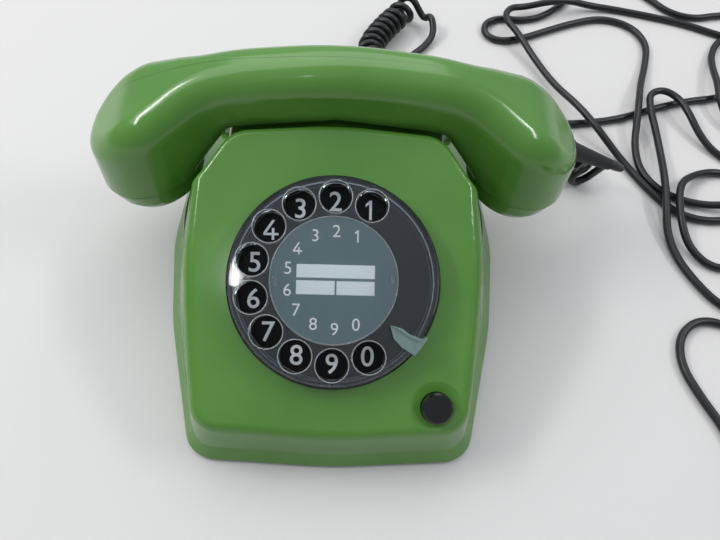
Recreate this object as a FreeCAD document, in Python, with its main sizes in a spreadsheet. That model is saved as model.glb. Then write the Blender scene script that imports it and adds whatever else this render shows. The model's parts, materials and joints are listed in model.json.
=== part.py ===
"""Rotary desk telephone with its handset on the cradle.

Units are millimetres. +X is the viewer's right, +Y the back, +Z up.
The origin is on the table, under the middle of the telephone.
"""
import FreeCAD, Part

import math
import os
import re

import Sketcher
from FreeCAD import Placement, Rotation, Vector

doc = FreeCAD.newDocument("DeskTelephone")
sheet = doc.addObject("Spreadsheet::Sheet", "Sizes")

# Driving sizes
SIZES = [
    ("case_depth", 185.0, "front to back at the foot of the case"),
    ("handset_in", 44.5, "from the back of the case to the middle plane of the handset"),
    ("trough_front_in", 53.9, "from there to the front lip of the trough"),
    ("trough_corner_in", 57.5, "from there to the turn of the lip"),
    ("pocket_front_in", 77.5, "from there to the front wall of the cup pockets"),
    ("trough_rear_in", 23.0, "from there to the rear wall of the trough"),
    ("boss_rear_in", 12.5, "from there to the rear screws"),
    ("foot_rear_in", 28.5, "from there to the rear feet"),
    ("lever_pivot_in", 27.5, "from there to the pivot of the hook lever"),
    ("hook_plate_in", 22.5, "from there to the front of the hook switch plate"),
    ("plunger_in", 42.0, "from there to the hook plungers"),
    ("gong_in", 50.5, "from there to the middle of the gongs"),
    ("coil_in", 78.5, "from there to the ringer coils"),
    ("clamp_in", 22.0, "from there to the clamp of the line cord"),
    ("relief_in", 39.0, "from there to the root of the handset's strain relief"),
    ("boss_front_in", 14.5, "from the front of the case to the front screws"),
    ("foot_front_in", 26.5, "from there to the front feet"),
    ("board_in", 44.5, "from there to the middle of the circuit board"),
    ("transformer_in", 32.5, "from there to the middle of the transformer"),
    ("capacitor_in", 30.5, "from there to the capacitor"),
    ("face_front_in", 3.5, "from there to the front edge of the sloping face"),
    ("dial_in", 66.2, "from there to the middle of the dial"),
    ("case_rim_z", 2.5, "lower edge of the case above the table"),
    ("case_wall", 2.6, "moulded wall of the case"),
    ("case_top_z", 100.0, "height at which the upper outline is drawn"),
    ("front_corner_x", 64.3, "half width at the front corners"),
    ("front_bulge", 3.6, "how far the front edge bows out"),
    ("front_edge_r", 240.0, "curve of the front edge"),
    ("side_front_r", 160.0, "curve of the sides ahead of the break"),
    ("side_full_r", 90.0, "curve of the sides at the largest width"),
    ("side_break_x", 80.8, "half width where the side turns"),
    ("side_break_y", -20.0, "place where the side turns"),
    ("side_full_x", 86.0, "largest half width"),
    ("side_full_y", 28.0, "place of the largest width"),
    ("rear_corner_x", 80.0, "half width at the rear corners"),
    ("front_corner_r", 15.0, "plan radius of the front corners"),
    ("rear_corner_r", 28.0, "plan radius of the rear corners"),
    ("upper_front_x", 54.5, "half width of the upper outline, front"),
    ("upper_half_x", 57.3, "half width of the upper outline, middle"),
    ("upper_rear_x", 53.0, "half width of the upper outline, rear"),
    ("front_lean", 12.0, "how far the front leans back up to the upper outline"),
    ("rear_lean", 14.0, "how far the rear leans in up to the upper outline"),
    ("ledge_height", 8.0, "height of the flared foot of the sides"),
    ("ledge_width", 2.2, "step of the flared foot"),
    ("face_front_z", 28.7, "height of that edge"),
    ("face_slope", 25.8, "slope of the face in degrees"),
    ("face_edge_r", 6.0, "rounding round the face"),
    ("lip_edge_r", 3.0, "rounding of the trough's front lip"),
    ("rear_lip_z", 86.0, "top of the wall behind the handset"),
    ("trough_corner_x", 47.0, "half width at which the front lip turns"),
    ("pocket_front_x", 62.0, "half width at which the cup pocket starts"),
    ("pocket_floor_z", 30.0, "floor of the cup pockets"),
    ("pocket_wall_x", 56.5, "inner wall of the cup pockets"),
    ("lip_r", 200.0, "curve of the front lip in the middle"),
    ("trough_corner_r", 16.0, "plan radius where the lip turns"),
    ("pocket_corner_r", 8.0, "plan radius of the pockets"),
    ("pocket_floor_r", 6.0, "radius between the pockets' floor and their inner wall"),
    ("pocket_behind", 11.0, "how far the pockets reach behind the trough"),
    ("open_below", 1.0, "how far the room in the case is cut below its rim"),
    ("rest_gap", 0.3, "gap between the handset and what it rests on"),
    ("handset_top_z", 115.8, "top of the grip, where its planes would meet"),
    ("shoulder_x", 58.0, "first break of the arched top"),
    ("shoulder_drop", 7.3, "fall of the top to that break"),
    ("end_x", 95.0, "second break of the arched top"),
    ("end_drop", 25.5, "fall of the top to that break"),
    ("tip_drop", 50.0, "fall of the top to the end wall"),
    ("arch_r", 180.0, "radius of the top in the middle"),
    ("shoulder_r", 130.0, "radius of the top at the first break"),
    ("end_r", 60.0, "radius at the second break"),
    ("tip_r", 28.0, "radius between the top and the end wall"),
    ("handset_half", 117.0, "half length of the handset"),
    ("grip_low_z", 83.0, "underside of the grip in the middle"),
    ("grip_edge_x", 50.0, "half width at which the underside turns down"),
    ("grip_edge_z", 76.0, "height of that turn"),
    ("grip_turn_r", 10.0, "radius of that turn"),
    ("grip_half", 14.2, "half thickness of the grip, front to back"),
    ("grip_back", 4.3, "how far the grip lies behind the middle plane of the cups"),
    ("grip_edge_r", 12.0, "rounding along the grip"),
    ("grip_inner_r", 11.0, "rounding inside the hollow grip"),
    ("waist_r", 30.0, "concave radius between grip and cup"),
    ("waist_in", 34.4, "from the middle of a cup to where the grip starts"),
    ("cup_flat", 7.9, "from there to where the round of the cup starts"),
    ("cup_x", 91.5, "middle of each cup"),
    ("cup_r", 25.5, "radius of the cups"),
    ("cup_tilt", 15.0, "how far the cup faces lean inwards, degrees"),
    ("seam_z", 49.0, "height of the cap seam in the middle of the cup"),
    ("shell_wall", 2.4, "wall of the handset"),
    ("cap_height", 13.5, "height of the screwed caps"),
    ("cap_low_r", 22.0, "radius of the caps at the bottom"),
    ("seam_gap", 0.25, "gap at each seam"),
    ("capsule_r", 19.0, "radius of the capsules"),
    ("sound_hole_r", 1.4, "sound holes in the caps"),
    ("dial_ring_r", 46.8, "outer radius of the black dial ring"),
    ("dial_ring_top", 2.2, "height of the dial ring above the face"),
    ("dial_well_r", 45.0, "radius of the dial opening in the case"),
    ("dial_collar", 1.7, "wall of the dial ring's collar"),
    ("dial_well_depth", 4.2, "depth of the number plate below the face"),
    ("number_plate_t", 1.2, "thickness of the number plate"),
    ("wheel_r", 45.2, "radius of the finger wheel"),
    ("wheel_low", 2.8, "underside of the wheel's skirt above the face"),
    ("wheel_top", 9.2, "upper surface of the wheel above the face"),
    ("wheel_web", 2.4, "thickness of the wheel"),
    ("skirt_wall", 2.0, "wall of the wheel's skirt"),
    ("finger_hole_r", 6.7, "radius of the finger holes"),
    ("finger_ring_r", 35.9, "radius on which the finger holes lie"),
    ("finger_rim", 0.75, "wall of the rims round the finger holes"),
    ("finger_rim_up", 0.5, "how far the rims stand up"),
    ("finger_rim_down", 2.2, "how far the rims reach below the wheel"),
    ("hole_divisions", 14.0, "finger hole places in a full turn"),
    ("hub_r", 6.0, "hub of the wheel"),
    ("card_r", 27.0, "radius of the card"),
    ("card_t", 0.5, "thickness of the card"),
    ("cover_t", 1.4, "thickness of the clear cover"),
    ("shaft_r", 3.0, "radius of the dial shaft"),
    ("running_gap", 0.05, "radial clearance of turning and sliding fits"),
    ("plate_t", 2.0, "thickness of the dial mechanism's plates"),
    ("mechanism_r", 32.0, "radius of the dial mechanism"),
    ("mechanism_depth", 25.0, "depth of the mechanism below the face"),
    ("gear_module", 0.6, "module of the dial gears"),
    ("gear_teeth", 72.0, "teeth of the main gear"),
    ("pinion_teeth", 12.0, "teeth of the governor pinion"),
    ("gear_t", 2.0, "thickness of the main gear"),
    ("gear_level", -11.0, "underside of the main gear"),
    ("stop_gap", 0.6, "gap between the finger stop and the wheel's rims"),
    ("stop_t", 1.5, "thickness of the finger stop"),
    ("stop_fold", 1.1, "height of the folded edge of the finger stop"),
    ("button_x", 46.0, "place of the push button across"),
    ("button_down", 53.9, "from the middle of the dial down the face to the button"),
    ("button_r", 6.75, "radius of the push button"),
    ("button_rise", 4.5, "how far the button stands out"),
    ("button_travel", 3.0, "travel of the button"),
    ("button_well_r", 11.5, "radius of the dished well"),
    ("button_well_depth", 1.3, "depth of the dished well"),
    ("foot_height", 3.5, "height of the rubber feet"),
    ("foot_r", 7.0, "radius of the rubber feet"),
    ("foot_x", 58.0, "half spacing of the feet"),
    ("base_t", 2.0, "thickness of the base plate"),
    ("base_gap", 0.4, "gap between base plate and case"),
    ("boss_r", 4.0, "radius of the screw bosses"),
    ("boss_front_x", 22.0, "half spacing of the front screws"),
    ("boss_rear_x", 34.0, "half spacing of the rear screws"),
    ("front_boss_height", 68.0, "height of the front bosses before the case trims them"),
    ("rear_boss_height", 36.0, "height of the rear bosses"),
    ("screw_r", 1.5, "radius of the screws"),
    ("screw_head_r", 3.0, "radius of the screw heads"),
    ("board_z", 10.0, "underside of the circuit board"),
    ("board_half", 52.0, "half length of the circuit board"),
    ("board_depth", 24.0, "half width of the circuit board"),
    ("board_post_x", 46.0, "half spacing of its posts across"),
    ("board_post_y", 18.0, "half spacing of its posts front to back"),
    ("board_t", 1.6, "thickness of the circuit board"),
    ("gong_left_x", -31.0, "large gong"),
    ("gong_right_x", 29.0, "small gong"),
    ("gong_left_r", 23.0, "radius of the large gong"),
    ("gong_right_r", 21.0, "radius of the small gong"),
    ("gong_low_z", 12.0, "rim of the gongs"),
    ("gong_height", 12.0, "height of the gongs"),
    ("gong_wall", 1.2, "thickness of the gongs"),
    ("coil_r", 8.0, "radius of the ringer coils"),
    ("coil_x", 11.0, "half spacing of the ringer coils"),
    ("coil_height", 20.0, "height of the ringer coils"),
    ("clapper_ball_r", 2.6, "ball of the clapper"),
    ("plunger_x", 30.0, "half spacing of the hook plungers"),
    ("plunger_r", 2.6, "radius of the hook plungers"),
    ("plunger_length", 15.0, "length of the hook plungers"),
    ("lever_pivot_z", 62.5, "height of that pivot"),
    ("lever_t", 2.0, "thickness of the hook lever"),
    ("pin_r", 1.5, "radius of the pivot pins"),
    ("lever_half", 33.0, "half length of the hook lever's bar"),
    ("volume_x", -44.0, "volume wheel across"),
    ("volume_y", 10.0, "volume wheel front to back"),
    ("volume_r", 9.0, "radius of the volume wheel"),
    ("volume_shaft_r", 2.0, "radius of its shaft"),
    ("cutter", 12.0, "reach of a cut through one wall"),
    ("wire_r", 1.5, "radius of the leads inside"),
    ("transformer_x", -38.0, "middle of the transformer across"),
    ("capacitor_x", 12.0, "left end of the capacitor"),
    ("capacitor_r", 6.0, "radius of the capacitor"),
    ("capacitor_length", 20.0, "length of the capacitor"),
    ("terminal_x", 55.0, "middle of the terminal block across"),
    ("terminal_y", -2.0, "middle of the terminal block front to back"),
    ("core_r", 2.5, "radius of the ringer's poles"),
    ("clapper_rod_r", 0.9, "radius of the clapper's rod"),
    ("hook_plate_half", 20.5, "half width of the hook switch plate"),
    ("tail_half", 4.0, "half width of the lever's finger"),
    ("tail_length", 14.0, "length of the lever's finger"),
    ("leaf_t", 0.4, "thickness of the contact leaves"),
    ("pillar_r", 2.5, "radius of the dial's pillars"),
    ("governor_angle", 225.0, "place of the governor round the dial"),
    ("governor_pin_r", 1.0, "radius of the governor's axle"),
    ("governor_drum_r", 6.0, "radius of the governor's drum"),
    ("governor_drum_t", 6.0, "thickness of the governor's drum"),
    ("dial_spring_r", 9.0, "radius of the dial's return spring"),
    ("dial_spring_t", 8.0, "height of the dial's return spring"),
    ("pulse_u", 8.0, "place of the pulse contacts across"),
    ("pulse_v", 14.0, "their place up the face"),
    ("stop_tip_r", 30.2, "tip of the finger stop from the dial's middle"),
    ("stop_angle", -36.5, "direction of the finger stop, degrees"),
    ("button_stem_r", 3.0, "radius of the button's stem"),
    ("button_flange_t", 1.5, "flange that keeps the button in"),
    ("guide_wall", 1.5, "wall of the button's guide"),
    ("spring_room", 4.0, "room for the pressed spring"),
    ("cap_collar", 5.0, "height of the caps' threaded collar"),
    ("gland_z", 12.5, "height of the cord glands"),
    ("handset_gland_x", 20.0, "gland of the curly cord"),
    ("line_gland_x", 47.0, "gland of the line cord"),
    ("gland_r", 4.0, "neck of the glands"),
    ("gland_flange", 2.0, "how far a gland's flange stands out and how thick it is"),
    ("line_boot", 20.0, "length of the line cord's boot"),
    ("handset_boot", 12.0, "length of the curly cord's boot at the case"),
    ("cord_r", 2.2, "radius of the line cord"),
    ("curl_wire_r", 2.2, "radius of the curly cord's wire"),
    ("curl_r", 6.3, "radius of the curls, to the middle of the wire"),
    ("curl_pitch", 5.3, "spacing of the curls"),
    ("curl_gap", 0.7, "least gap between curls on the inside of a bend"),
    ("loose_pitch", 10.0, "spacing of the loosened curls at the end"),
    ("relief_x", 116.4, "root of the handset's strain relief across"),
    ("relief_z", 58.0, "its height"),
    ("relief_length", 30.0, "length of the strain relief"),
    ("relief_r", 4.6, "radius of the strain relief at its root"),
    ("relief_tip_r", 3.0, "radius of the strain relief at its tip"),
    ("coil_turns", 7.0, "turns of the coiled line cord"),
    ("coil_step", 4.9, "spacing of the coiled turns"),
    ("coil_middle_r", 25.0, "middle radius of the coiled turns"),
    ("cord_coil_x", 232.0, "middle of the coiled cord across"),
    ("cord_coil_y", -100.0, "middle of the coiled cord front to back"),
    ("tie_wall", 1.0, "wall of the clip round the coiled cord"),
    ("tie_width", 6.0, "width of that clip"),
    ("tie_low", 0.2, "its lower ends above the table"),
    ("plug_length", 30.0, "length of the plug"),
    ("plug_width", 22.0, "width of the plug"),
    ("plug_height", 12.0, "height of the plug"),
    ("plug_x", 231.0, "end of the plug where its cord enters, across"),
    ("plug_y", -163.0, "its place front to back"),
    ("plug_z", 0.3, "its underside above the table"),
]

for row, (name, value, note) in enumerate(SIZES, start=1):
    sheet.set("A%d" % row, name)
    sheet.set("B%d" % row, str(value))
    sheet.set("C%d" % row, note)
    sheet.setAlias("B%d" % row, name)
doc.recompute()

# Places along the telephone, measured from the back or the front of the case
PLACES = {
    "handset_y": "(case_depth / 2 - handset_in)",
    "trough_front_y": "(case_depth / 2 - trough_front_in)",
    "trough_corner_y": "(case_depth / 2 - trough_corner_in)",
    "pocket_front_y": "(case_depth / 2 - pocket_front_in)",
    "trough_rear_y": "(case_depth / 2 - trough_rear_in)",
    "boss_rear_y": "(case_depth / 2 - boss_rear_in)",
    "foot_rear_y": "(case_depth / 2 - foot_rear_in)",
    "lever_pivot_y": "(case_depth / 2 - lever_pivot_in)",
    "hook_plate_y": "(case_depth / 2 - hook_plate_in)",
    "plunger_y": "(case_depth / 2 - plunger_in)",
    "gong_y": "(case_depth / 2 - gong_in)",
    "coil_y": "(case_depth / 2 - coil_in)",
    "clamp_y": "(case_depth / 2 - clamp_in)",
    "relief_y": "(case_depth / 2 - relief_in)",
    "boss_front_y": "(boss_front_in - case_depth / 2)",
    "foot_front_y": "(foot_front_in - case_depth / 2)",
    "board_y": "(board_in - case_depth / 2)",
    "transformer_y": "(transformer_in - case_depth / 2)",
    "capacitor_y": "(capacitor_in - case_depth / 2)",
    "face_front_y": "(face_front_in - case_depth / 2)",
    "dial_y": "(dial_in - case_depth / 2)",
}
PLACE_NAMES = re.compile(r"\b(%s)\b" % "|".join(PLACES))
NAMES = re.compile(r"\b(%s)\b" % "|".join(name for name, value, note in SIZES))


def cell(text):
    """Write an expression on the sheet's aliases in full."""
    text = PLACE_NAMES.sub(lambda found: PLACES[found.group(1)], str(text))
    return NAMES.sub(r"Sizes.\1", text)


def size(text):
    """Value of an expression on the sheet's aliases."""
    return float(sheet.evalExpression(cell(text)))


# Frames: a point, then a tilt about one axis
X_AXIS, Y_AXIS, Z_AXIS = Vector(1, 0, 0), Vector(0, 1, 0), Vector(0, 0, 1)
TABLE = ("0", "0", "0", X_AXIS, "0")
FACE_Z = "(face_front_z + (%s - face_front_y) * tan(face_slope * 1 deg))"
BUTTON_Y = "(dial_y - button_down * cos(face_slope * 1 deg))"
DIAL = ("0", "dial_y", FACE_Z % "dial_y", X_AXIS, "face_slope")
BUTTON = ("button_x", BUTTON_Y, FACE_Z % BUTTON_Y, X_AXIS, "face_slope")
EAR = ("-cup_x", "handset_y", "seam_z", Vector(0, -1, 0), "cup_tilt")
MOUTH = ("cup_x", "handset_y", "seam_z", Y_AXIS, "cup_tilt")
REAR_Y = (
    "(case_depth / 2 - ledge_width - rear_lean * (gland_z - case_rim_z) / (case_top_z - case_rim_z))"
)
HANDSET_GLAND = ("handset_gland_x", REAR_Y, "gland_z", Vector(-1, 0, 0), "90")
LINE_GLAND = ("line_gland_x", REAR_Y, "gland_z", Vector(-1, 0, 0), "90")


def frame_placement(frame):
    across, back, up, axis, tilt = frame
    return Placement(Vector(size(across), size(back), size(up)), Rotation(axis, size(tilt)))


def stand(piece, frame):
    """Put a piece in its frame and bind its place to the sheet."""
    piece.Placement = frame_placement(frame)
    for axis, text in zip("xyz", frame[:3]):
        piece.setExpression("Placement.Base." + axis, cell(text))
    if size(frame[4]) != 0:
        piece.setExpression("Placement.Rotation.Angle", cell(frame[4]))
    return piece


def origin_plane(body, role):
    return [part for part in body.Origin.OriginFeatures if part.Role == role][0]


def new_body(label, frame):
    body = doc.addObject("PartDesign::Body", label)
    body.Label = label
    return stand(body, frame)


def new_sketch(body, name, role):
    sketch = body.newObject("Sketcher::SketchObject", name)
    sketch.AttachmentSupport = [(origin_plane(body, role), "")]
    sketch.MapMode = "FlatFace"
    return sketch


def drive(sketch, kind, places, text):
    """Add one dimension to a sketch and bind it to the sheet."""
    value = size(text)
    index = sketch.addConstraint(Sketcher.Constraint(kind, *places, value))
    sketch.setExpression("Constraints[%d]" % index, cell(text))


def draw_polygon(sketch, corners):
    """Closed polygon whose corners are bound to the sheet."""
    points = [Vector(size(a), size(b), 0) for a, b in corners]
    first = len(sketch.Geometry)
    count = len(points)
    for index in range(count):
        line = Part.LineSegment(points[index], points[(index + 1) % count])
        sketch.addGeometry(line, False)
    for index in range(count):
        this, following = first + index, first + (index + 1) % count
        sketch.addConstraint(Sketcher.Constraint("Coincident", this, 2, following, 1))
    for index, (a, b) in enumerate(corners):
        drive(sketch, "DistanceX", (-1, 1, first + index, 1), a)
        drive(sketch, "DistanceY", (-1, 1, first + index, 1), b)


def draw_circle(sketch, a, b, radius):
    """Circle whose centre and radius are bound to the sheet."""
    centre = Vector(size(a), size(b), 0)
    index = sketch.addGeometry(Part.Circle(centre, Vector(0, 0, 1), size(radius)), False)
    drive(sketch, "DistanceX", (-1, 1, index, 3), a)
    drive(sketch, "DistanceY", (-1, 1, index, 3), b)
    drive(sketch, "Radius", (index,), radius)
    return index


def turned(label, corners, frame=TABLE):
    """Piece turned about its frame's Z axis; corners are (radius, height)."""
    body = new_body(label, frame)
    sketch = new_sketch(body, label + "_section", "XZ_Plane")
    draw_polygon(sketch, corners)
    turn = body.newObject("PartDesign::Revolution", label + "_turn")
    turn.Profile = sketch
    turn.ReferenceAxis = (origin_axis(body, "Z_Axis"), [""])
    turn.Angle = 360.0
    sketch.Visibility = False
    return body


def origin_axis(body, role):
    return [part for part in body.Origin.OriginFeatures if part.Role == role][0]


def padded(label, corners, low, high, frame=TABLE, circles=()):
    """Plate with straight or round edges, padded from low to high."""
    body = new_body(label, frame)
    sketch = new_sketch(body, label + "_outline", "XY_Plane")
    sketch.AttachmentOffset = Placement(Vector(0, 0, size(low)), Rotation())
    sketch.setExpression("AttachmentOffset.Base.z", cell(low))
    if corners:
        draw_polygon(sketch, corners)
    for a, b, radius in circles:
        draw_circle(sketch, a, b, radius)
    pad = body.newObject("PartDesign::Pad", label + "_pad")
    pad.Profile = sketch
    pad.setExpression("Length", cell("(%s) - (%s)" % (high, low)))
    sketch.Visibility = False
    return body


def block(label, low, high, frame=TABLE):
    """Box between two corners given as expressions."""
    piece = doc.addObject("Part::Box", label)
    piece.Label = label
    for side, a, b in zip(("Length", "Width", "Height"), low, high):
        piece.setExpression(side, cell("(%s) - (%s)" % (b, a)))
    return seat(piece, low, frame)


def rod(label, low, radius, length, frame=TABLE, along="Z"):
    """Cylinder from a point, along one axis of its frame."""
    piece = doc.addObject("Part::Cylinder", label)
    piece.Label = label
    piece.setExpression("Radius", cell(radius))
    piece.setExpression("Height", cell(length))
    return seat(piece, low, frame, along)


TURNS = {
    "Z": Rotation(),
    "X": Rotation(Vector(0, 1, 0), 90.0),
    "Y": Rotation(Vector(1, 0, 0), -90.0),
}


def seat(piece, low, frame, along="Z"):
    """Place a primitive in a frame: on the table, or on the sloping face."""
    if frame == TABLE:
        piece.Placement = Placement(Vector(0, 0, 0), TURNS[along])
        for axis, text in zip("xyz", low):
            piece.setExpression("Placement.Base." + axis, cell(text))
        return piece
    x, y, z = ["(%s)" % text for text in low]
    cosine, sine = "cos(face_slope * 1 deg)", "sin(face_slope * 1 deg)"
    tilt = Rotation(X_AXIS, size("face_slope"))
    piece.Placement = Placement(Vector(0, 0, 0), tilt.multiply(TURNS[along]))
    if along == "Z":
        piece.setExpression("Placement.Rotation.Angle", cell("face_slope"))
    back = "%s + %s * %s - %s * %s" % (frame[1], y, cosine, z, sine)
    up = "%s + %s * %s + %s * %s" % (frame[2], y, sine, z, cosine)
    piece.setExpression("Placement.Base.x", cell("%s + %s" % (frame[0], x)))
    piece.setExpression("Placement.Base.y", cell(back))
    piece.setExpression("Placement.Base.z", cell(up))
    return piece


def joined(label, pieces):
    fuse = doc.addObject("Part::MultiFuse", label)
    fuse.Label = label
    fuse.Shapes = pieces
    fuse.Refine = False
    return fuse


def group(label, pieces):
    """Separate solids that share one node."""
    compound = doc.addObject("Part::Compound", label)
    compound.Label = label
    compound.Links = pieces
    return compound


def cut(label, base, tools):
    tool = tools[0] if len(tools) == 1 else joined(label + "_tools", tools)
    result = doc.addObject("Part::Cut", label)
    result.Label = label
    result.Base = base
    result.Tool = tool
    return result


def formed(label, shape, frame=None):
    """Piece whose shape is worked out below from the sheet's values."""
    piece = doc.addObject("Part::Feature", label)
    piece.Label = label
    piece.Shape = shape
    if frame is not None:
        piece.Placement = frame_placement(frame).multiply(shape.Placement)
    return piece


NODES = []


def node(piece):
    NODES.append(piece)
    return piece


def rounded_wire(corners, plane):
    """Closed wire through corners (a, b, radius), tangent arcs at the corners.

    plane turns the pair (a, b) into a point.
    """
    count = len(corners)
    starts, ends, middles = [], [], []
    for index, (a, b, radius) in enumerate(corners):
        corner = Vector(a, b, 0)
        before = Vector(*corners[index - 1][:2], 0) - corner
        after = Vector(*corners[(index + 1) % count][:2], 0) - corner
        before.normalize()
        after.normalize()
        half = before.getAngle(after) / 2.0
        reach = radius / math.tan(half)
        bisector = (before + after).normalize()
        centre = corner + bisector * (radius / math.sin(half))
        starts.append(corner + before * reach)
        ends.append(corner + after * reach)
        middles.append(centre - bisector * radius)
    edges = []
    for index in range(count):
        first, middle, last = [
            plane(point.x, point.y) for point in (starts[index], middles[index], ends[index])
        ]
        if corners[index][2] > 0:
            edges.append(Part.Arc(first, middle, last).toShape())
        following = starts[(index + 1) % count]
        if (following - ends[index]).Length > 0.001:
            edges.append(Part.LineSegment(last, plane(following.x, following.y)).toShape())
    return Part.Wire(edges)


def prism(corners, plane, sweep):
    """Solid swept from a rounded outline."""
    return Part.Face(rounded_wire(corners, plane)).extrude(sweep)


def mirrored(right):
    """Corners of a symmetrical outline from its right half, front to back."""
    left = [(-a, b, radius) for a, b, radius in reversed(right) if a != 0]
    return right + left


# Case
FAR = 260.0


def face_z(y):
    rise = math.tan(math.radians(size("face_slope")))
    return size("face_front_z") + (y - size("face_front_y")) * rise


def case_outline(level, inset):
    """Plan outline of the case at a height, pulled in by inset."""
    share = (level - size("case_rim_z")) / (size("case_top_z") - size("case_rim_z"))
    front = -size("case_depth") / 2 + share * size("front_lean") + inset
    rear = size("case_depth") / 2 - share * size("rear_lean") - inset
    bulge = size("front_bulge")

    def between(low, high):
        return size(low) + share * (size(high) - size(low)) - inset

    right = [
        (0.0, front, size("front_edge_r")),
        (between("front_corner_x", "upper_front_x"), front + bulge, size("front_corner_r") - inset),
        (between("side_break_x", "upper_half_x"), size("side_break_y"), size("side_front_r")),
        (between("side_full_x", "upper_half_x"), size("side_full_y"), size("side_full_r")),
        (between("rear_corner_x", "upper_rear_x"), rear, size("rear_corner_r") - inset),
    ]
    return mirrored(right)


def case_level(level, inset):
    return rounded_wire(case_outline(level, inset), lambda a, b: Vector(a, b, level))


def trough_corners(inset):
    """Plan outline of the room for the handset, widened by inset."""
    front_y, corner_r = size("trough_front_y") - inset, size("trough_corner_r")
    pocket_y, pocket_r = size("pocket_front_y") - inset, size("pocket_corner_r")
    rear_y = size("trough_rear_y") + inset
    behind_y = rear_y + size("pocket_behind")
    right = [
        (0.0, front_y, size("lip_r")),
        (size("trough_corner_x"), size("trough_corner_y") - inset, corner_r + inset),
        (size("pocket_front_x"), pocket_y, pocket_r),
        (FAR, pocket_y, 0.0),
        (FAR, behind_y, 0.0),
        (size("pocket_front_x"), behind_y, pocket_r),
        (size("trough_corner_x"), rear_y, pocket_r),
    ]
    return mirrored(right)


def cradle_corners(inset):
    """Front view of the room for the handset, its floor lowered by inset."""
    gap = size("rest_gap") + inset
    right = [
        (0.0, size("grip_low_z") - gap, 0.0),
        (size("grip_edge_x") - inset, size("grip_edge_z") - gap, size("grip_turn_r")),
        (size("pocket_wall_x") - inset, size("pocket_floor_z") - inset, size("pocket_floor_r")),
        (FAR, size("pocket_floor_z") - inset, 0.0),
        (FAR, FAR, 0.0),
    ]
    return mirrored(right)


def handset_room(inset):
    plan = prism(trough_corners(inset), lambda a, b: Vector(a, b, 0), Vector(0, 0, FAR))
    front = prism(
        cradle_corners(inset), lambda a, b: Vector(a, -FAR / 2, b), Vector(0, FAR, 0)
    )
    return plan.common(front)


def case_block(inset):
    """Solid form of the case, pulled in by inset on every side."""
    rim, top = size("case_rim_z") - (size("open_below") if inset else 0.0), size("case_top_z")
    ledge_z = size("case_rim_z") + size("ledge_height")
    foot = case_level(rim, inset)
    ledge = case_level(ledge_z, inset + size("ledge_width"))
    crown = case_level(top, inset)
    lower = Part.makeLoft([foot, ledge], True, True)
    upper = Part.makeLoft([ledge, crown], True, True)
    solid = lower.fuse(upper)
    lip_y = size("trough_front_y + grip_edge_r")
    top_z = size("rear_lip_z") - inset
    drop = inset / math.cos(math.radians(size("face_slope")))
    above = Part.Face(
        Part.makePolygon(
            [
                Vector(-FAR, -FAR, face_z(-FAR) - drop),
                Vector(-FAR, lip_y, face_z(lip_y) - drop),
                Vector(-FAR, lip_y, top_z),
                Vector(-FAR, FAR, top_z),
                Vector(-FAR, FAR, FAR),
                Vector(-FAR, -FAR, FAR),
                Vector(-FAR, -FAR, face_z(-FAR) - drop),
            ]
        )
    ).extrude(Vector(2 * FAR, 0, 0))
    solid = solid.cut(above)
    return solid


def edge_points(edge):
    span = edge.LastParameter - edge.FirstParameter
    return [edge.valueAt(edge.FirstParameter + share * span) for share in (0.0, 0.5, 1.0)]


def face_edges(solid, drop, first_y, last_y):
    """Edges of the sloping face that lie between two places."""
    found = []
    for edge in solid.Edges:
        points = edge_points(edge)
        on_face = all(abs(point.z + drop - face_z(point.y)) < 0.01 for point in points)
        if on_face and first_y < min(point.y for point in points) < last_y:
            found.append(edge)
    return found


def rounded_block(inset):
    """Case form with its face rounded off and room cut for the handset."""
    drop = inset / math.cos(math.radians(size("face_slope")))
    solid = case_block(inset)
    edges = face_edges(solid, drop, -FAR, size("trough_front_y"))
    solid = solid.makeFillet(size("face_edge_r") - inset, edges)
    solid = solid.cut(handset_room(inset))
    lip = face_edges(solid, drop, size("pocket_front_y") - inset + 0.5, FAR)
    return solid.makeFillet(size("lip_edge_r") - inset / 3, lip)


# Handset
def handset_side(inset):
    """Front view of the handset, pulled in by inset and open at the caps."""
    top = size("handset_top_z") - inset
    tilt = math.tan(math.radians(size("cup_tilt")))
    inner_x = size("cup_x") - size("cup_r") + inset
    outer_x = size("handset_half") + size("shell_wall")
    reach = 0.0 if inset == 0 else size("cap_collar")
    right = [
        (0.0, size("grip_low_z") + inset, 0.0),
        (size("grip_edge_x") + inset, size("grip_edge_z") + inset, size("grip_turn_r")),
        (inner_x, size("seam_z") + (size("cup_x") - inner_x) * tilt - reach, 0.0),
        (outer_x, size("seam_z") - (outer_x - size("cup_x")) * tilt - reach, 0.0),
        (outer_x, top - size("tip_drop"), size("tip_r")),
        (size("end_x"), top - size("end_drop"), size("end_r")),
        (size("shoulder_x"), top - size("shoulder_drop"), size("shoulder_r")),
        (0.0, top, size("arch_r")),
    ]
    left = [(-a, b, radius) for a, b, radius in reversed(right[1:-1])]
    return right + left


def handset_plan(inset):
    """Plan of the handset about the cups' middle plane, pulled in by inset."""
    grip, cup = size("grip_half") - inset, size("cup_r") - inset
    back, end = size("grip_back"), size("handset_half") - inset
    waist_x, flat_x = size("cup_x - waist_in"), size("cup_x - cup_flat")
    right = [
        (waist_x, back - grip, size("waist_r")),
        (flat_x, -cup, cup),
        (end, -cup, cup - 0.01),
        (end, cup, cup - 0.01),
        (flat_x, cup, cup),
        (waist_x, back + grip, size("waist_r")),
    ]
    return mirrored(right)


def handset_block(inset):
    side = prism(
        handset_side(inset), lambda a, b: Vector(a, -FAR / 2, b), Vector(0, FAR, 0)
    )
    plan = prism(
        handset_plan(inset),
        lambda a, b: Vector(a, size("handset_y") + b, 0),
        Vector(0, 0, FAR),
    )
    solid = side.common(plan)
    radius = size("grip_inner_r") if inset > 0 else size("grip_edge_r")
    return solid.makeFillet(radius, wall_edges(solid))


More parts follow.
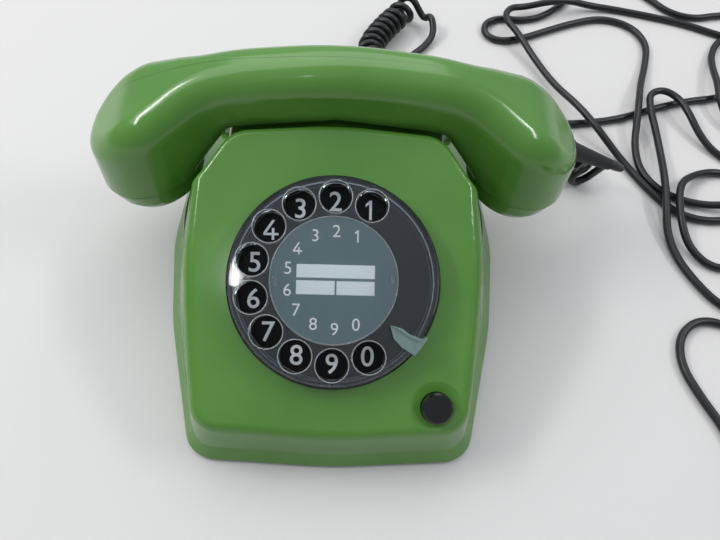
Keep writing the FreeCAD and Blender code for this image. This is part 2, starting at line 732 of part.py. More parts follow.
def wall_edges(solid):
    """Edges where the upright walls of the handset meet its top and its underside."""
    found = []
    for edge in solid.Edges:
        start, middle, end = edge_points(edge)
        upright = math.hypot(end.x - start.x, end.y - start.y) < 0.001
        normals = [
            face.normalAt(*face.Surface.parameter(middle))
            for face in solid.ancestorsOfType(edge, Part.Face)
        ]
        walls = [normal for normal in normals if abs(normal.z) < 1e-6]
        seam = size("seam_z") - (abs(middle.x) - size("cup_x")) * math.tan(
            math.radians(size("cup_tilt"))
        )
        if not upright and len(walls) == 1 and middle.z > seam + 1.0:
            found.append(edge)
    return found


BASE_TOP = "(foot_height + base_t)"
BOARD_TOP = "(board_z + board_t)"


def polar(radius, angle):
    """Pair of expressions for a place given by radius and angle in degrees."""
    return (
        "(%s) * cos((%s) * 1 deg)" % (radius, angle),
        "(%s) * sin((%s) * 1 deg)" % (radius, angle),
    )


def common(label, base, tool):
    result = doc.addObject("Part::Common", label)
    result.Label = label
    result.Base = base
    result.Tool = tool
    return result


def ball(label, place, radius):
    piece = doc.addObject("Part::Sphere", label)
    piece.Label = label
    piece.setExpression("Radius", cell(radius))
    return seat(piece, place, TABLE)


# Case and base
SCREWS = [
    ("-boss_front_x", "boss_front_y", "front_boss_height"),
    ("boss_front_x", "boss_front_y", "front_boss_height"),
    ("-boss_rear_x", "boss_rear_y", "rear_boss_height"),
    ("boss_rear_x", "boss_rear_y", "rear_boss_height"),
]


def make_case():
    form = formed("case_form", rounded_block(0.0))
    room = formed("case_room", rounded_block(size("case_wall")))
    cutter = ("0", "0", "-cutter")
    plunger_z = "grip_edge_z - cutter"
    tools = [room, formed("handset_clearance", handset_block(-size("rest_gap")))]
    tools.append(rod("dial_opening", cutter, "dial_well_r", "2 * cutter", DIAL))
    tools.append(rod("button_hole", cutter, "button_r + rest_gap", "2 * cutter", BUTTON))
    dish = [
        ("0", "-button_well_depth"),
        ("button_r + rest_gap", "-button_well_depth"),
        ("button_well_r", "0"),
        ("button_well_r", "1"),
        ("0", "1"),
    ]
    tools.append(turned("button_well", dish, BUTTON))
    for side, sign in (("left", "-"), ("right", "")):
        place = (sign + "plunger_x", "plunger_y", plunger_z)
        tools.append(rod("plunger_hole_" + side, place, "plunger_r + running_gap", "2 * cutter"))
    for name, frame in (("handset", HANDSET_GLAND), ("line", LINE_GLAND)):
        label = name + "_gland_hole"
        tools.append(rod_in(label, frame, "-cutter", "gland_r + running_gap", "2 * cutter"))
    shell = cut("case_shell", form, tools)
    posts, pilots = [], []
    for index, (x, y, height) in enumerate(SCREWS):
        posts.append(rod("post_%d" % index, (x, y, BASE_TOP), "boss_r", height))
        pilots.append(
            rod("pilot_%d" % index, (x, y, "foot_height"), "screw_r + running_gap", "cutter + base_t")
        )
    bosses = common("bosses", joined("posts", posts), form)
    return cut("upper_case", joined("case_with_bosses", [shell, bosses]), pilots)


def rod_in(label, frame, low, radius, length):
    """Cylinder on the Z axis of any frame."""
    return padded(label, [], low, "(%s) + (%s)" % (low, length), frame, [("0", "0", radius)])


def make_base():
    inset = "case_wall + ledge_width * (foot_height + base_t - case_rim_z) / ledge_height + base_gap"
    top = size(BASE_TOP)
    outline = Part.Face(case_level(top, size(inset)))
    plate = formed("base_form", outline.extrude(Vector(0, 0, -size("base_t"))))
    posts = []
    for index, (x, y) in enumerate((("-", "-"), ("", "-"), ("-", "+"), ("", "+"))):
        place = (x + "board_post_x", "board_y %s board_post_y" % (y or "+"), "foot_height")
        posts.append(rod("board_post_%d" % index, place, "boss_r - 1", "board_z - foot_height"))
    bush = ("volume_x", "volume_y", "foot_height")
    posts.append(rod("volume_bush", bush, "2 * volume_shaft_r", "3 * base_t"))
    body = joined("base_with_posts", [plate] + posts)
    holes = []
    for index, (x, y, height) in enumerate(SCREWS):
        holes.append(rod("base_hole_%d" % index, (x, y, "0"), "screw_r + rest_gap", "cutter"))
    place = ("volume_x", "volume_y", "0")
    holes.append(rod("volume_hole", place, "volume_shaft_r + running_gap", "cutter"))
    return cut("base_plate", body, holes)


FEET = [
    ("-foot_x", "foot_front_y"),
    ("foot_x", "foot_front_y"),
    ("-foot_x", "foot_rear_y"),
    ("foot_x", "foot_rear_y"),
]


def make_feet():
    feet = []
    for index, (x, y) in enumerate(FEET):
        foot = doc.addObject("Part::Cone", "foot_%d" % index)
        foot.setExpression("Radius1", cell("foot_r - 1"))
        foot.setExpression("Radius2", cell("foot_r"))
        foot.setExpression("Height", cell("foot_height"))
        feet.append(seat(foot, (x, y, "0"), TABLE))
    return group("rubber_feet", feet)


def make_case_screws():
    screws = []
    for index, (x, y, height) in enumerate(SCREWS):
        head = rod("head_%d" % index, (x, y, "foot_height - base_t"), "screw_head_r", "base_t")
        shank = rod("shank_%d" % index, (x, y, "foot_height"), "screw_r", "cutter")
        screws.append(joined("screw_%d" % index, [head, shank]))
    return group("case_screws", screws)


node(make_case())
node(make_base())
node(make_feet())
node(make_case_screws())


# Circuit board and what stands on it
def make_board():
    low = ("-board_half", "board_y - board_depth", "board_z")
    high = ("board_half", "board_y + board_depth", BOARD_TOP)
    return block("circuit_board", low, high)


def make_transformer():
    """Core of stacked sheets with two windows, and the winding round its middle leg."""
    x, y, z = "(transformer_x)", "(transformer_y)", BOARD_TOP
    core = block(
        "core_form",
        (x + " - 12", y + " - 10", z),
        (x + " + 12", y + " + 10", z + " + 16"),
    )
    windows = []
    for index, (low, high) in enumerate(((" - 8", " - 4"), (" + 4", " + 8"))):
        windows.append(
            block(
                "window_%d" % index,
                (x + low, y + " - cutter", z + " + 4"),
                (x + high, y + " + cutter", z + " + 12"),
            )
        )
    gap = "rest_gap"
    around = block(
        "winding_form",
        (x + " - 8 + " + gap, y + " - 14", z + " + 4 + " + gap),
        (x + " + 8 - " + gap, y + " + 14", z + " + 12 - " + gap),
    )
    leg = block(
        "winding_bore",
        (x + " - 4 - running_gap", y + " - 10 - running_gap", z),
        (x + " + 4 + running_gap", y + " + 10 + running_gap", z + " + 16"),
    )
    return cut("transformer_core", core, windows), cut("transformer_winding", around, [leg])


def make_capacitor():
    place = ("capacitor_x", "capacitor_y", BOARD_TOP + " + capacitor_r")
    return rod("capacitor", place, "capacitor_r", "capacitor_length", TABLE, "X")


def make_terminal_block():
    x, y = "terminal_x", "terminal_y"
    form = block(
        "terminal_form",
        (x + " - 7", y + " - 12", BASE_TOP),
        (x + " + 7", y + " + 12", BASE_TOP + " + 10"),
    )
    holes = []
    for index in range(4):
        place = (x, "%s + 6 * (%d - 1.5)" % (y, index), BASE_TOP + " + 4")
        holes.append(rod("terminal_hole_%d" % index, place, "screw_r", "cutter"))
    return cut("terminal_block", form, holes)


# Ringer
GONGS = {
    "large": ("gong_left_x", "gong_y", "gong_low_z", X_AXIS, "0"),
    "small": ("gong_right_x", "gong_y", "gong_low_z", X_AXIS, "0"),
}
GONG_R = {"large": "gong_left_r", "small": "gong_right_r"}


def make_gong(name):
    radius = GONG_R[name]
    bore = "screw_r + running_gap"
    outer = [
        (radius, "0"),
        (radius, "0.35 * gong_height"),
        ("0.93 * " + radius, "0.65 * gong_height"),
        ("0.75 * " + radius, "0.88 * gong_height"),
        ("0.45 * " + radius, "gong_height"),
        (bore, "gong_height"),
    ]
    inner = [
        (bore, "gong_height - gong_wall"),
        ("0.45 * " + radius, "gong_height - gong_wall"),
        ("0.75 * %s - gong_wall / 2" % radius, "0.88 * gong_height - gong_wall"),
        ("0.93 * %s - gong_wall" % radius, "0.65 * gong_height - gong_wall / 2"),
        (radius + " - gong_wall", "0.35 * gong_height"),
        (radius + " - gong_wall", "0"),
    ]
    return turned("gong_" + name, outer + inner, GONGS[name])


def make_gong_screws():
    screws = []
    for name in GONGS:
        x, y = GONGS[name][:2]
        top = "gong_low_z + gong_height"
        head = rod("gong_head_" + name, (x, y, top), "screw_head_r", "base_t")
        shank = rod("gong_shank_" + name, (x, y, top + " - gong_height / 2"), "screw_r", "gong_height / 2")
        screws.append(joined("gong_screw_" + name, [head, shank]))
    return group("gong_screws", screws)


def make_ringer_frame():
    low = ("gong_left_x - 3", "coil_y - 10", BASE_TOP)
    high = ("gong_right_x + 3", "gong_y + 6", BASE_TOP + " + plate_t")
    pieces = [block("ringer_plate", low, high)]
    under_gong = "gong_low_z + gong_height - gong_wall - foot_height - base_t"
    holes = []
    for name in GONGS:
        x, y = GONGS[name][:2]
        pieces.append(rod("gong_post_" + name, (x, y, BASE_TOP), "screw_head_r", under_gong))
        place = (x, y, "gong_low_z + gong_height / 2")
        holes.append(rod("gong_pilot_" + name, place, "screw_r + running_gap", "gong_height"))
    for side in ("-", ""):
        place = (side + "coil_x", "coil_y", BASE_TOP)
        pieces.append(rod("pole_" + (side or "+"), place, "core_r", "coil_height + 5.5"))
    pieces.append(rod("clapper_pin", ("0", "coil_y", BASE_TOP), "pin_r", "coil_height + cutter"))
    return cut("ringer_frame", joined("ringer_parts", pieces), holes)


def make_ringer_coils():
    coils = []
    for index, side in enumerate(("-", "")):
        place = (side + "coil_x", "coil_y", BASE_TOP + " + plate_t")
        outer = rod("coil_%d" % index, place, "coil_r", "coil_height")
        bore = rod("coil_bore_%d" % index, place, "core_r + running_gap", "coil_height")
        coils.append(cut("ringer_coil_%d" % index, outer, [bore]))
    return group("ringer_coils", coils)


ARMATURE_Z = "(foot_height + base_t + coil_height + 6)"


def make_clapper():
    """Armature over the poles, its hub, and the rod with the ball between the gongs."""
    bar = block(
        "armature_bar",
        ("-coil_x - core_r", "coil_y - core_r", ARMATURE_Z),
        ("coil_x + core_r", "coil_y + core_r", ARMATURE_Z + " + pin_r"),
    )
    hub = rod("clapper_hub", ("0", "coil_y", ARMATURE_Z), "2 * pin_r", "3 * pin_r")
    arm = rod(
        "clapper_arm",
        ("0", "coil_y + pin_r", ARMATURE_Z + " + 2 * pin_r"),
        "clapper_rod_r",
        "gong_y - coil_y - pin_r + clapper_rod_r",
        TABLE,
        "Y",
    )
    ball_z = "(gong_low_z + clapper_ball_r + 1)"
    drop = rod(
        "clapper_drop",
        ("0", "gong_y", ball_z),
        "clapper_rod_r",
        "%s + 2 * pin_r + clapper_rod_r - %s" % (ARMATURE_Z, ball_z),
    )
    tip = ball("clapper_ball", ("0", "gong_y", ball_z), "clapper_ball_r")
    bore = rod("clapper_bore", ("0", "coil_y", "0"), "pin_r + running_gap", "5 * cutter")
    return cut("clapper", joined("clapper_parts", [bar, hub, arm, drop, tip]), [bore])


def make_volume():
    """Thumb wheel under the base with a cam arm beside the large gong."""
    x, y = "volume_x", "volume_y"
    disc = rod("volume_disc", (x, y, "1"), "volume_r", "foot_height - 1 - rest_gap")
    shaft = rod("volume_shaft", (x, y, "1"), "volume_shaft_r", "gong_low_z + 4")
    arm = block(
        "volume_arm",
        (x + " - 8", y + " - volume_shaft_r", "gong_low_z + 2"),
        (x, y + " + volume_shaft_r", "gong_low_z + 4"),
    )
    return joined("volume_wheel", [disc, shaft, arm])


# Hook switch
PLUNGER_TOP = (
    "(grip_low_z + (grip_edge_z - grip_low_z) * (plunger_x + plunger_r) / grip_edge_x - rest_gap)"
)
BAR_TOP = "(%s - plunger_length - running_gap)" % PLUNGER_TOP


def make_plungers():
    plungers = []
    for side, sign in (("left", "-"), ("right", "")):
        place = (sign + "plunger_x", "plunger_y", PLUNGER_TOP + " - plunger_length")
        stem = rod("plunger_stem_" + side, place, "plunger_r", "plunger_length")
        collar = rod("plunger_collar_" + side, place, "plunger_r + 1", "base_t")
        plungers.append(joined("hook_plunger_" + side, [stem, collar]))
    return group("hook_plungers", plungers)


def make_hook_frame():
    """Upright plate on the base with two ears for the pivot pin."""
    plate = block(
        "hook_plate",
        ("-hook_plate_half", "hook_plate_y", BASE_TOP),
        ("hook_plate_half", "hook_plate_y + plate_t", "lever_pivot_z + 3 * plate_t"),
    )
    pieces = [plate]
    ears = [
        ("-hook_plate_half", "-hook_plate_half + plate_t"),
        ("hook_plate_half - plate_t", "hook_plate_half"),
    ]
    for index, (low, high) in enumerate(ears):
        pieces.append(
            block(
                "hook_ear_%d" % index,
                (low, "lever_pivot_y - 3 * pin_r", "lever_pivot_z - 3 * pin_r"),
                (high, "hook_plate_y", "lever_pivot_z + 3 * pin_r"),
            )
        )
    foot = block(
        "hook_foot",
        ("-hook_plate_half", "hook_plate_y", BASE_TOP),
        ("hook_plate_half", "hook_plate_y + 4 * plate_t", BASE_TOP + " + plate_t"),
    )
    place = ("-hook_plate_half - 1", "lever_pivot_y", "lever_pivot_z")
    bore = rod("hook_bore", place, "pin_r + running_gap", "2 * hook_plate_half + 2", TABLE, "X")
    return cut("hook_frame", joined("hook_frame_parts", pieces + [foot]), [bore])


def make_hook_pin():
    place = ("-hook_plate_half - 1", "lever_pivot_y", "lever_pivot_z")
    return rod("hook_pin", place, "pin_r", "2 * hook_plate_half + 2", TABLE, "X")


def make_hook_lever():
    inner = "(hook_plate_half - plate_t - rest_gap)"
    hub = rod(
        "lever_hub",
        ("-%s" % inner, "lever_pivot_y", "lever_pivot_z"),
        "2 * pin_r",
        "2 * " + inner,
        TABLE,
        "X",
    )
    web = block(
        "lever_web",
        ("-" + inner, "plunger_y - plunger_r - 1", BAR_TOP + " - lever_t"),
        (inner, "lever_pivot_y - pin_r - running_gap", BAR_TOP),
    )
    bar = block(
        "lever_bar",
        ("-lever_half", "plunger_y - plunger_r - 1", BAR_TOP + " - lever_t"),
        ("lever_half", "plunger_y + plunger_r + 1", BAR_TOP),
    )
    finger = block(
        "lever_finger",
        ("-tail_half", "lever_pivot_y + pin_r + running_gap - lever_t", "lever_pivot_z - tail_length"),
        ("tail_half", "lever_pivot_y + pin_r + running_gap", "lever_pivot_z"),
    )
    place = ("-hook_plate_half", "lever_pivot_y", "lever_pivot_z")
    bore = rod("lever_bore", place, "pin_r + running_gap", "2 * hook_plate_half", TABLE, "X")
    return cut("hook_lever", joined("lever_parts", [hub, web, bar, finger]), [bore])


def make_switch_contacts():
    """Stack on the plate with two upright leaves behind the lever's finger."""
    low_z = "lever_pivot_z - tail_length - 8"
    stack = block(
        "contact_stack",
        ("-tail_half - 1", "hook_plate_y - 3.2", low_z),
        ("tail_half + 1", "hook_plate_y", low_z + " + 8 - rest_gap"),
    )
    leaves = []
    for index, back in enumerate(("3.2", "1.6")):
        leaves.append(
            block(
                "contact_leaf_%d" % index,
                ("-tail_half", "hook_plate_y - " + back, low_z),
                ("tail_half", "hook_plate_y - %s + leaf_t" % back, low_z + " + 18"),
            )
        )
    return joined("switch_contacts", [stack] + leaves)


def make_hook_spring():
    """Sleeve spring on the pin, outside the right ear."""
    place = ("hook_plate_half", "lever_pivot_y", "lever_pivot_z")
    outer = rod("hook_spring_form", place, "2 * pin_r", "1", TABLE, "X")
    bore = rod("hook_spring_bore", place, "pin_r + running_gap", "1", TABLE, "X")
    return cut("hook_spring", outer, [bore])


# Dial
RING_INNER = "(dial_well_r - rest_gap - dial_collar)"
HOUSING_TOP = "(-dial_well_depth)"
HOUSING_LOW = "(-dial_well_depth - plate_t)"


def make_dial_ring():
    outline = [
        (RING_INNER, "-dial_well_depth"),
        ("dial_well_r - rest_gap", "-dial_well_depth"),
        ("dial_well_r - rest_gap", "0"),
        ("dial_ring_r", "0"),
        ("dial_ring_r", "0.6 * dial_ring_top"),
        ("dial_ring_r - 0.8", "dial_ring_top"),
        (RING_INNER, "dial_ring_top"),
    ]
    return turned("dial_ring", outline, DIAL)


def make_number_plate():
    outline = [
        ("hub_r + rest_gap", HOUSING_TOP),
        (RING_INNER + " - rest_gap", HOUSING_TOP),
        (RING_INNER + " - rest_gap", HOUSING_TOP + " + number_plate_t"),
        ("hub_r + rest_gap", HOUSING_TOP + " + number_plate_t"),
    ]
    return turned("number_plate", outline, DIAL)


def dial_disc(label, radius, low, high):
    """Plate of the mechanism with the shaft's and the governor's bearings."""
    circles = [
        ("0", "0", radius),
        ("0", "0", "shaft_r + running_gap"),
        polar(AXLE_SPACING, "governor_angle") + ("governor_pin_r + running_gap",),
    ]
    return padded(label, [], low, high, DIAL, circles)


AXLE_SPACING = "(gear_module * (gear_teeth + pinion_teeth) / 2)"
BACK_PLATE_TOP = "(-mechanism_depth + plate_t)"


def make_dial_back():
    pieces = [dial_disc("back_disc", "mechanism_r", "-mechanism_depth", BACK_PLATE_TOP)]
    length = "%s - %s" % (HOUSING_LOW, BACK_PLATE_TOP)
    for index in range(3):
        angle = "governor_angle + 75 + 105 * %d" % index
        a, b = polar("mechanism_r - 4", angle)
        pieces.append(rod("pillar_%d" % index, (a, b, BACK_PLATE_TOP), "pillar_r", length, DIAL))
    return joined("dial_back_plate", pieces)


def gear_wire(teeth, radius_gap):
    """Straight-flanked gear outline; radius_gap draws the flanks in for backlash."""
    module = size("gear_module")
    outer = module * (teeth / 2 + 1) - radius_gap
    root = module * (teeth / 2 - 1.25)
    points = []
    for tooth in range(teeth):
        middle = 2 * math.pi * tooth / teeth
        for radius, share in ((root, -0.34), (outer, -0.13), (outer, 0.13), (root, 0.34)):
            angle = middle + share * 2 * math.pi / teeth
            points.append(Vector(radius * math.cos(angle), radius * math.sin(angle), 0))
    return Part.makePolygon(points + points[:1])


def gear_disc(teeth, low, thickness, bore):
    solid = Part.Face(gear_wire(teeth, 0.1)).extrude(Vector(0, 0, thickness))
    solid = solid.cut(Part.makeCylinder(bore, thickness))
    solid.translate(Vector(0, 0, low))
    return solid


def make_dial_gear():
    bore = size("shaft_r + running_gap")
    teeth = int(size("gear_teeth"))
    return formed("dial_gear", gear_disc(teeth, size("gear_level"), size("gear_t"), bore), DIAL)


def make_governor():
    """Pinion, drum and axle that turn as one piece."""
    teeth = int(size("pinion_teeth"))
    axle_r = size("governor_pin_r")
    spacing, angle = size(AXLE_SPACING), size("governor_angle")
    place = Vector(
        spacing * math.cos(math.radians(angle)), spacing * math.sin(math.radians(angle)), 0
    )
    low = -size("mechanism_depth")
    axle = Part.makeCylinder(axle_r, size(HOUSING_TOP) - low, Vector(0, 0, low))
    drum_low = size(BACK_PLATE_TOP) + size("plate_t")
    drum = Part.makeCylinder(
        size("governor_drum_r"), size("governor_drum_t"), Vector(0, 0, drum_low)
    )
    ratio = size("gear_teeth") / teeth
    turn = angle * (1 + ratio) + 180.0 + 180.0 / teeth
    pinion_low = size("gear_level") - 1
    outline = Part.Face(gear_wire(teeth, 0.1)).extrude(Vector(0, 0, size("gear_t") + 2))
    outline.Placement = Placement(Vector(0, 0, pinion_low), Rotation(Z_AXIS, turn))
    solid = axle.fuse([drum, outline])
    solid.translate(place)
    return formed("governor", solid, DIAL)


def make_dial_shaft():
    low = "-mechanism_depth - 1"
    return rod_in("dial_shaft", DIAL, low, "shaft_r", "wheel_top + mechanism_depth + 1")


def make_dial_spring():
    outline = [
        ("shaft_r + 4 * running_gap", BACK_PLATE_TOP),
        ("dial_spring_r", BACK_PLATE_TOP),
        ("dial_spring_r", BACK_PLATE_TOP + " + dial_spring_t"),
        ("shaft_r + 4 * running_gap", BACK_PLATE_TOP + " + dial_spring_t"),
    ]
    return turned("dial_spring", outline, DIAL)


def make_pulse_contacts():
    stack = block_in(
        "pulse_stack",
        ("pulse_u", "pulse_v", BACK_PLATE_TOP),
        ("pulse_u + 7", "pulse_v + 6", BACK_PLATE_TOP + " + 7"),
    )
    pieces = [stack]
    for index in range(3):
        pieces.append(
            block_in(
                "pulse_leaf_%d" % index,
                ("pulse_u + %d" % (3 * index), "pulse_v", BACK_PLATE_TOP + " + 6"),
                ("pulse_u + %d + leaf_t" % (3 * index), "pulse_v + 6", "gear_level - 1"),
            )
        )
    return joined("pulse_contacts", pieces)


def block_in(label, low, high):
    return block(label, low, high, DIAL)


def finger_place(digit):
    """Place of one finger hole; digit 2 is straight up, 0 comes after 9."""
    return polar("finger_ring_r", "90 + %d * 360 / hole_divisions" % (digit - 2))


def make_finger_wheel():
    disc = [
        ("shaft_r + running_gap", "wheel_low - hub_r / 2"),
        ("hub_r", "wheel_low - hub_r / 2"),
        ("hub_r", "wheel_top - wheel_web"),
        ("wheel_r - skirt_wall", "wheel_top - wheel_web"),
        ("wheel_r - skirt_wall", "wheel_low"),
        ("wheel_r", "wheel_low"),
        ("wheel_r", "wheel_top - skirt_wall / 2"),
        ("wheel_r - skirt_wall / 2", "wheel_top"),
        ("shaft_r + running_gap", "wheel_top"),
    ]
    pieces, holes = [turned("wheel_disc", disc, DIAL)], []
    for digit in range(1, 11):
        a, b = finger_place(digit)
        low = "wheel_top - wheel_web - finger_rim_down"
        length = "wheel_web + finger_rim_down + finger_rim_up"
        pieces.append(
            rod("finger_rim_%d" % digit, (a, b, low), "finger_hole_r + finger_rim", length, DIAL)
        )
        holes.append(
            rod("finger_hole_%d" % digit, (a, b, low), "finger_hole_r", length + " + 1", DIAL)
        )
    return cut("finger_wheel", joined("wheel_with_rims", pieces), holes)


def make_card():
    return rod("dial_card", ("0", "0", "wheel_top"), "card_r", "card_t", DIAL)


def make_card_cover():
    low = "wheel_top + card_t + running_gap"
    outline = [
        ("0", low),
        ("card_r + running_gap", low),
        ("card_r + running_gap", "wheel_top"),
        ("card_r + cover_t / 2", "wheel_top"),
        ("card_r + cover_t / 2", "wheel_top + card_t + cover_t / 2"),
        ("card_r", "wheel_top + card_t + cover_t"),
        ("0", "wheel_top + card_t + cover_t"),
    ]
    return turned("card_cover", outline, DIAL)


def make_finger_stop():
    """Arm over the wheel on a leg outside it, as corners (radius, angle)."""
    outer, inner = "dial_ring_r - 0.2", "wheel_r + 0.4"
    low = "wheel_top + finger_rim_up + stop_gap"
    arm_corners = [
        ("stop_tip_r", "stop_angle - 0.8"),
        ("stop_tip_r + 5", "stop_angle + 2.4"),
        ("stop_tip_r + 9", "stop_angle + 2.2"),
        ("wheel_r - 1", "stop_angle + 4"),
        (outer, "stop_angle + 6"),
        (outer, "stop_angle - 5.2"),
        ("stop_tip_r + 10", "stop_angle - 7"),
        ("stop_tip_r + 5", "stop_angle - 6.5"),
    ]
    fold_corners = [
        ("stop_tip_r", "stop_angle - 0.8"),
        ("stop_tip_r + 5", "stop_angle + 2.4"),
        ("stop_tip_r + 9", "stop_angle + 2.2"),
        ("wheel_r - 1", "stop_angle + 4"),
        ("wheel_r - 1", "stop_angle + 2.2"),
        ("stop_tip_r + 9", "stop_angle + 0.5"),
        ("stop_tip_r + 5", "stop_angle + 0.6"),
    ]
    leg_corners = [
        (inner, "stop_angle + 6"),
        (outer, "stop_angle + 6"),
        (outer, "stop_angle + 0.4"),
        (outer, "stop_angle - 5.2"),
        (inner, "stop_angle - 5.2"),
        (inner, "stop_angle + 0.4"),
    ]
    high = low + " + stop_t"
    arm = padded("stop_arm", [polar(*corner) for corner in arm_corners], low, high, DIAL)
    fold = padded(
        "stop_fold", [polar(*corner) for corner in fold_corners], low, high + " + stop_fold", DIAL
    )
    leg = padded(
        "stop_leg", [polar(*corner) for corner in leg_corners], "dial_ring_top", high, DIAL
    )
    return joined("finger_stop", [arm, fold, leg])


# Push button
FLANGE_TOP = "(-case_wall - rest_gap)"


def make_button():
    outline = [
        ("0", FLANGE_TOP + " - cutter"),
        ("button_stem_r", FLANGE_TOP + " - cutter"),
        ("button_stem_r", FLANGE_TOP + " - button_flange_t"),
        ("button_r + button_flange_t", FLANGE_TOP + " - button_flange_t"),
        ("button_r + button_flange_t", FLANGE_TOP),
        ("button_r", FLANGE_TOP),
        ("button_r", "button_rise - 0.8"),
        ("button_r - 0.8", "button_rise"),
        ("0", "button_rise"),
    ]
    return turned("push_button", outline, BUTTON)


GUIDE_FLOOR = "(-case_wall - rest_gap - button_flange_t - button_travel - spring_room)"


def make_button_guide():
    inner = "button_r + button_flange_t + rest_gap"
    outline = [
        ("button_stem_r + rest_gap", GUIDE_FLOOR + " - guide_wall"),
        (inner + " + guide_wall", GUIDE_FLOOR + " - guide_wall"),
        (inner + " + guide_wall", "-case_wall"),
        (inner, "-case_wall"),
        (inner, GUIDE_FLOOR),
        ("button_stem_r + rest_gap", GUIDE_FLOOR),
    ]
    guide = turned("guide_form", outline, BUTTON)
    return common("button_guide", guide, doc.getObject("case_room"))


def make_button_spring():
    outline = [
        ("button_stem_r + 1", GUIDE_FLOOR),
        ("button_stem_r + 2", GUIDE_FLOOR),
        ("button_stem_r + 2", GUIDE_FLOOR + " + spring_room - rest_gap"),
        ("button_stem_r + 1", GUIDE_FLOOR + " + spring_room - rest_gap"),
    ]
    return turned("button_spring", outline, BUTTON)


def make_button_contacts():
    x, y = "(button_x)", "(board_y - board_depth)"
    return block(
        "button_contacts",
        (x + " - 6", y, BOARD_TOP),
        (x + " + 6", y + " + 12", BOARD_TOP + " + 3"),
    )


# Handset
def handset_cavity():
    return handset_block(size("shell_wall"))


RELIEF_WAY = (0.87, 0.10, -0.49)


def relief_frame():
    """Root of the handset's strain relief and the way it points."""
    root = Vector(size("relief_x"), size("relief_y"), size("relief_z"))
    return root, Vector(*RELIEF_WAY).normalize()


def make_handset_shell():
    root, way = relief_frame()
    wall = size("shell_wall")
    shell = handset_block(0.0).cut(handset_cavity())
    hole = Part.makeCylinder(size("relief_r + rest_gap"), 4 * wall, root - way * 2 * wall, way)
    return formed("handset_shell", shell.cut(hole))


def make_handset_relief():
    root, way = relief_frame()
    back = size("shell_wall") * 1.5
    neck = Part.makeCylinder(size("relief_r"), back, root - way * back, way)
    sleeve = Part.makeCone(
        size("relief_r"), size("relief_tip_r"), size("relief_length"), root, way
    )
    return formed("handset_strain_relief", neck.fuse(sleeve))


def make_cap(label, frame, rings):
    collar = "cup_r - shell_wall - 3 * rest_gap"
    outline = [
        ("0", "-cap_height"),
        ("cap_low_r - 2", "-cap_height"),
        ("cap_low_r", "-cap_height + 0.8"),
        ("cap_low_r + 2.2", "-0.62 * cap_height"),
        ("cup_r - 0.5", "-0.3 * cap_height"),
        ("cup_r", "-seam_gap - 1"),
        ("cup_r", "-seam_gap"),
        (collar, "-seam_gap"),
        (collar, "cap_collar"),
        (collar + " - shell_wall", "cap_collar"),
        (collar + " - shell_wall", "-0.5 * cap_height"),
        ("cap_low_r - shell_wall", "-cap_height + shell_wall"),
        ("0", "-cap_height + shell_wall"),
    ]
    form = turned(label + "_form", outline, frame)
    circles = []
    for count, radius in rings:
        for index in range(count):
            a, b = polar(radius, "360 * %d / %d" % (index, count))
            circles.append((a, b, "sound_hole_r"))
    holes = padded(label + "_holes", [], "-cap_height - 1", "-cap_height + cutter / 2", frame, circles)
    return cut(label, form, [holes])


def make_capsule(label, frame):
    low, high = "-cap_height + shell_wall + rest_gap", "-seam_gap"
    outline = [
        ("0", low),
        ("0.8 * capsule_r", low),
        ("capsule_r", low + " + 3"),
        ("capsule_r", high),
        ("0", high),
    ]
    return turned(label, outline, frame)


def make_cup_holders():
    """Discs screwed into the cups, which press the capsules into the caps."""
    holders = []
    for name, frame in (("ear", EAR), ("mouth", MOUTH)):
        outline = [
            ("0", "0"),
            ("capsule_r", "0"),
            ("capsule_r", "2"),
            ("0", "2"),
        ]
        holders.append(turned("holder_" + name, outline, frame))
    return group("cup_holders", holders)


# Glands of the cords
def make_gland(label, frame, boot):
    back = "-case_wall - 4 * rest_gap"
    outline = [
        ("0", back + " - gland_flange"),
        ("gland_r + gland_flange", back + " - gland_flange"),
        ("gland_r + gland_flange", back),
        ("gland_r", back),
        ("gland_r", "gland_flange"),
        ("cord_r + 0.6", boot),
        ("0", boot),
    ]
    return turned(label, outline, frame)


node(make_board())
for piece in make_transformer():
    node(piece)
node(make_capacitor())
node(make_terminal_block())
node(make_ringer_frame())
node(make_ringer_coils())
node(make_gong("large"))
node(make_gong("small"))
node(make_gong_screws())
node(make_clapper())
node(make_volume())
node(make_hook_frame())
node(make_hook_pin())
node(make_hook_lever())
node(make_plungers())
node(make_hook_spring())
node(make_switch_contacts())
node(make_dial_ring())
node(make_number_plate())
node(dial_disc("dial_housing", "dial_well_r - rest_gap", HOUSING_LOW, HOUSING_TOP))
node(make_dial_back())
node(make_dial_shaft())
node(make_dial_gear())
node(make_governor())
node(make_dial_spring())
node(make_pulse_contacts())
node(make_finger_wheel())
node(make_card())
node(make_card_cover())
node(make_finger_stop())
node(make_button())
node(make_button_guide())
node(make_button_spring())
node(make_button_contacts())
node(make_handset_shell())
node(make_handset_relief())
node(make_cap("ear_cap", EAR, ((1, "0"), (6, "6"), (12, "12"))))
node(make_cap("mouth_cap", MOUTH, ((6, "5"), (6, "10"))))
node(make_capsule("receiver_capsule", EAR))
node(make_capsule("microphone_capsule", MOUTH))
node(make_cup_holders())
node(make_gland("handset_cord_gland", HANDSET_GLAND, "handset_boot"))
node(make_gland("line_cord_gland", LINE_GLAND, "line_boot"))


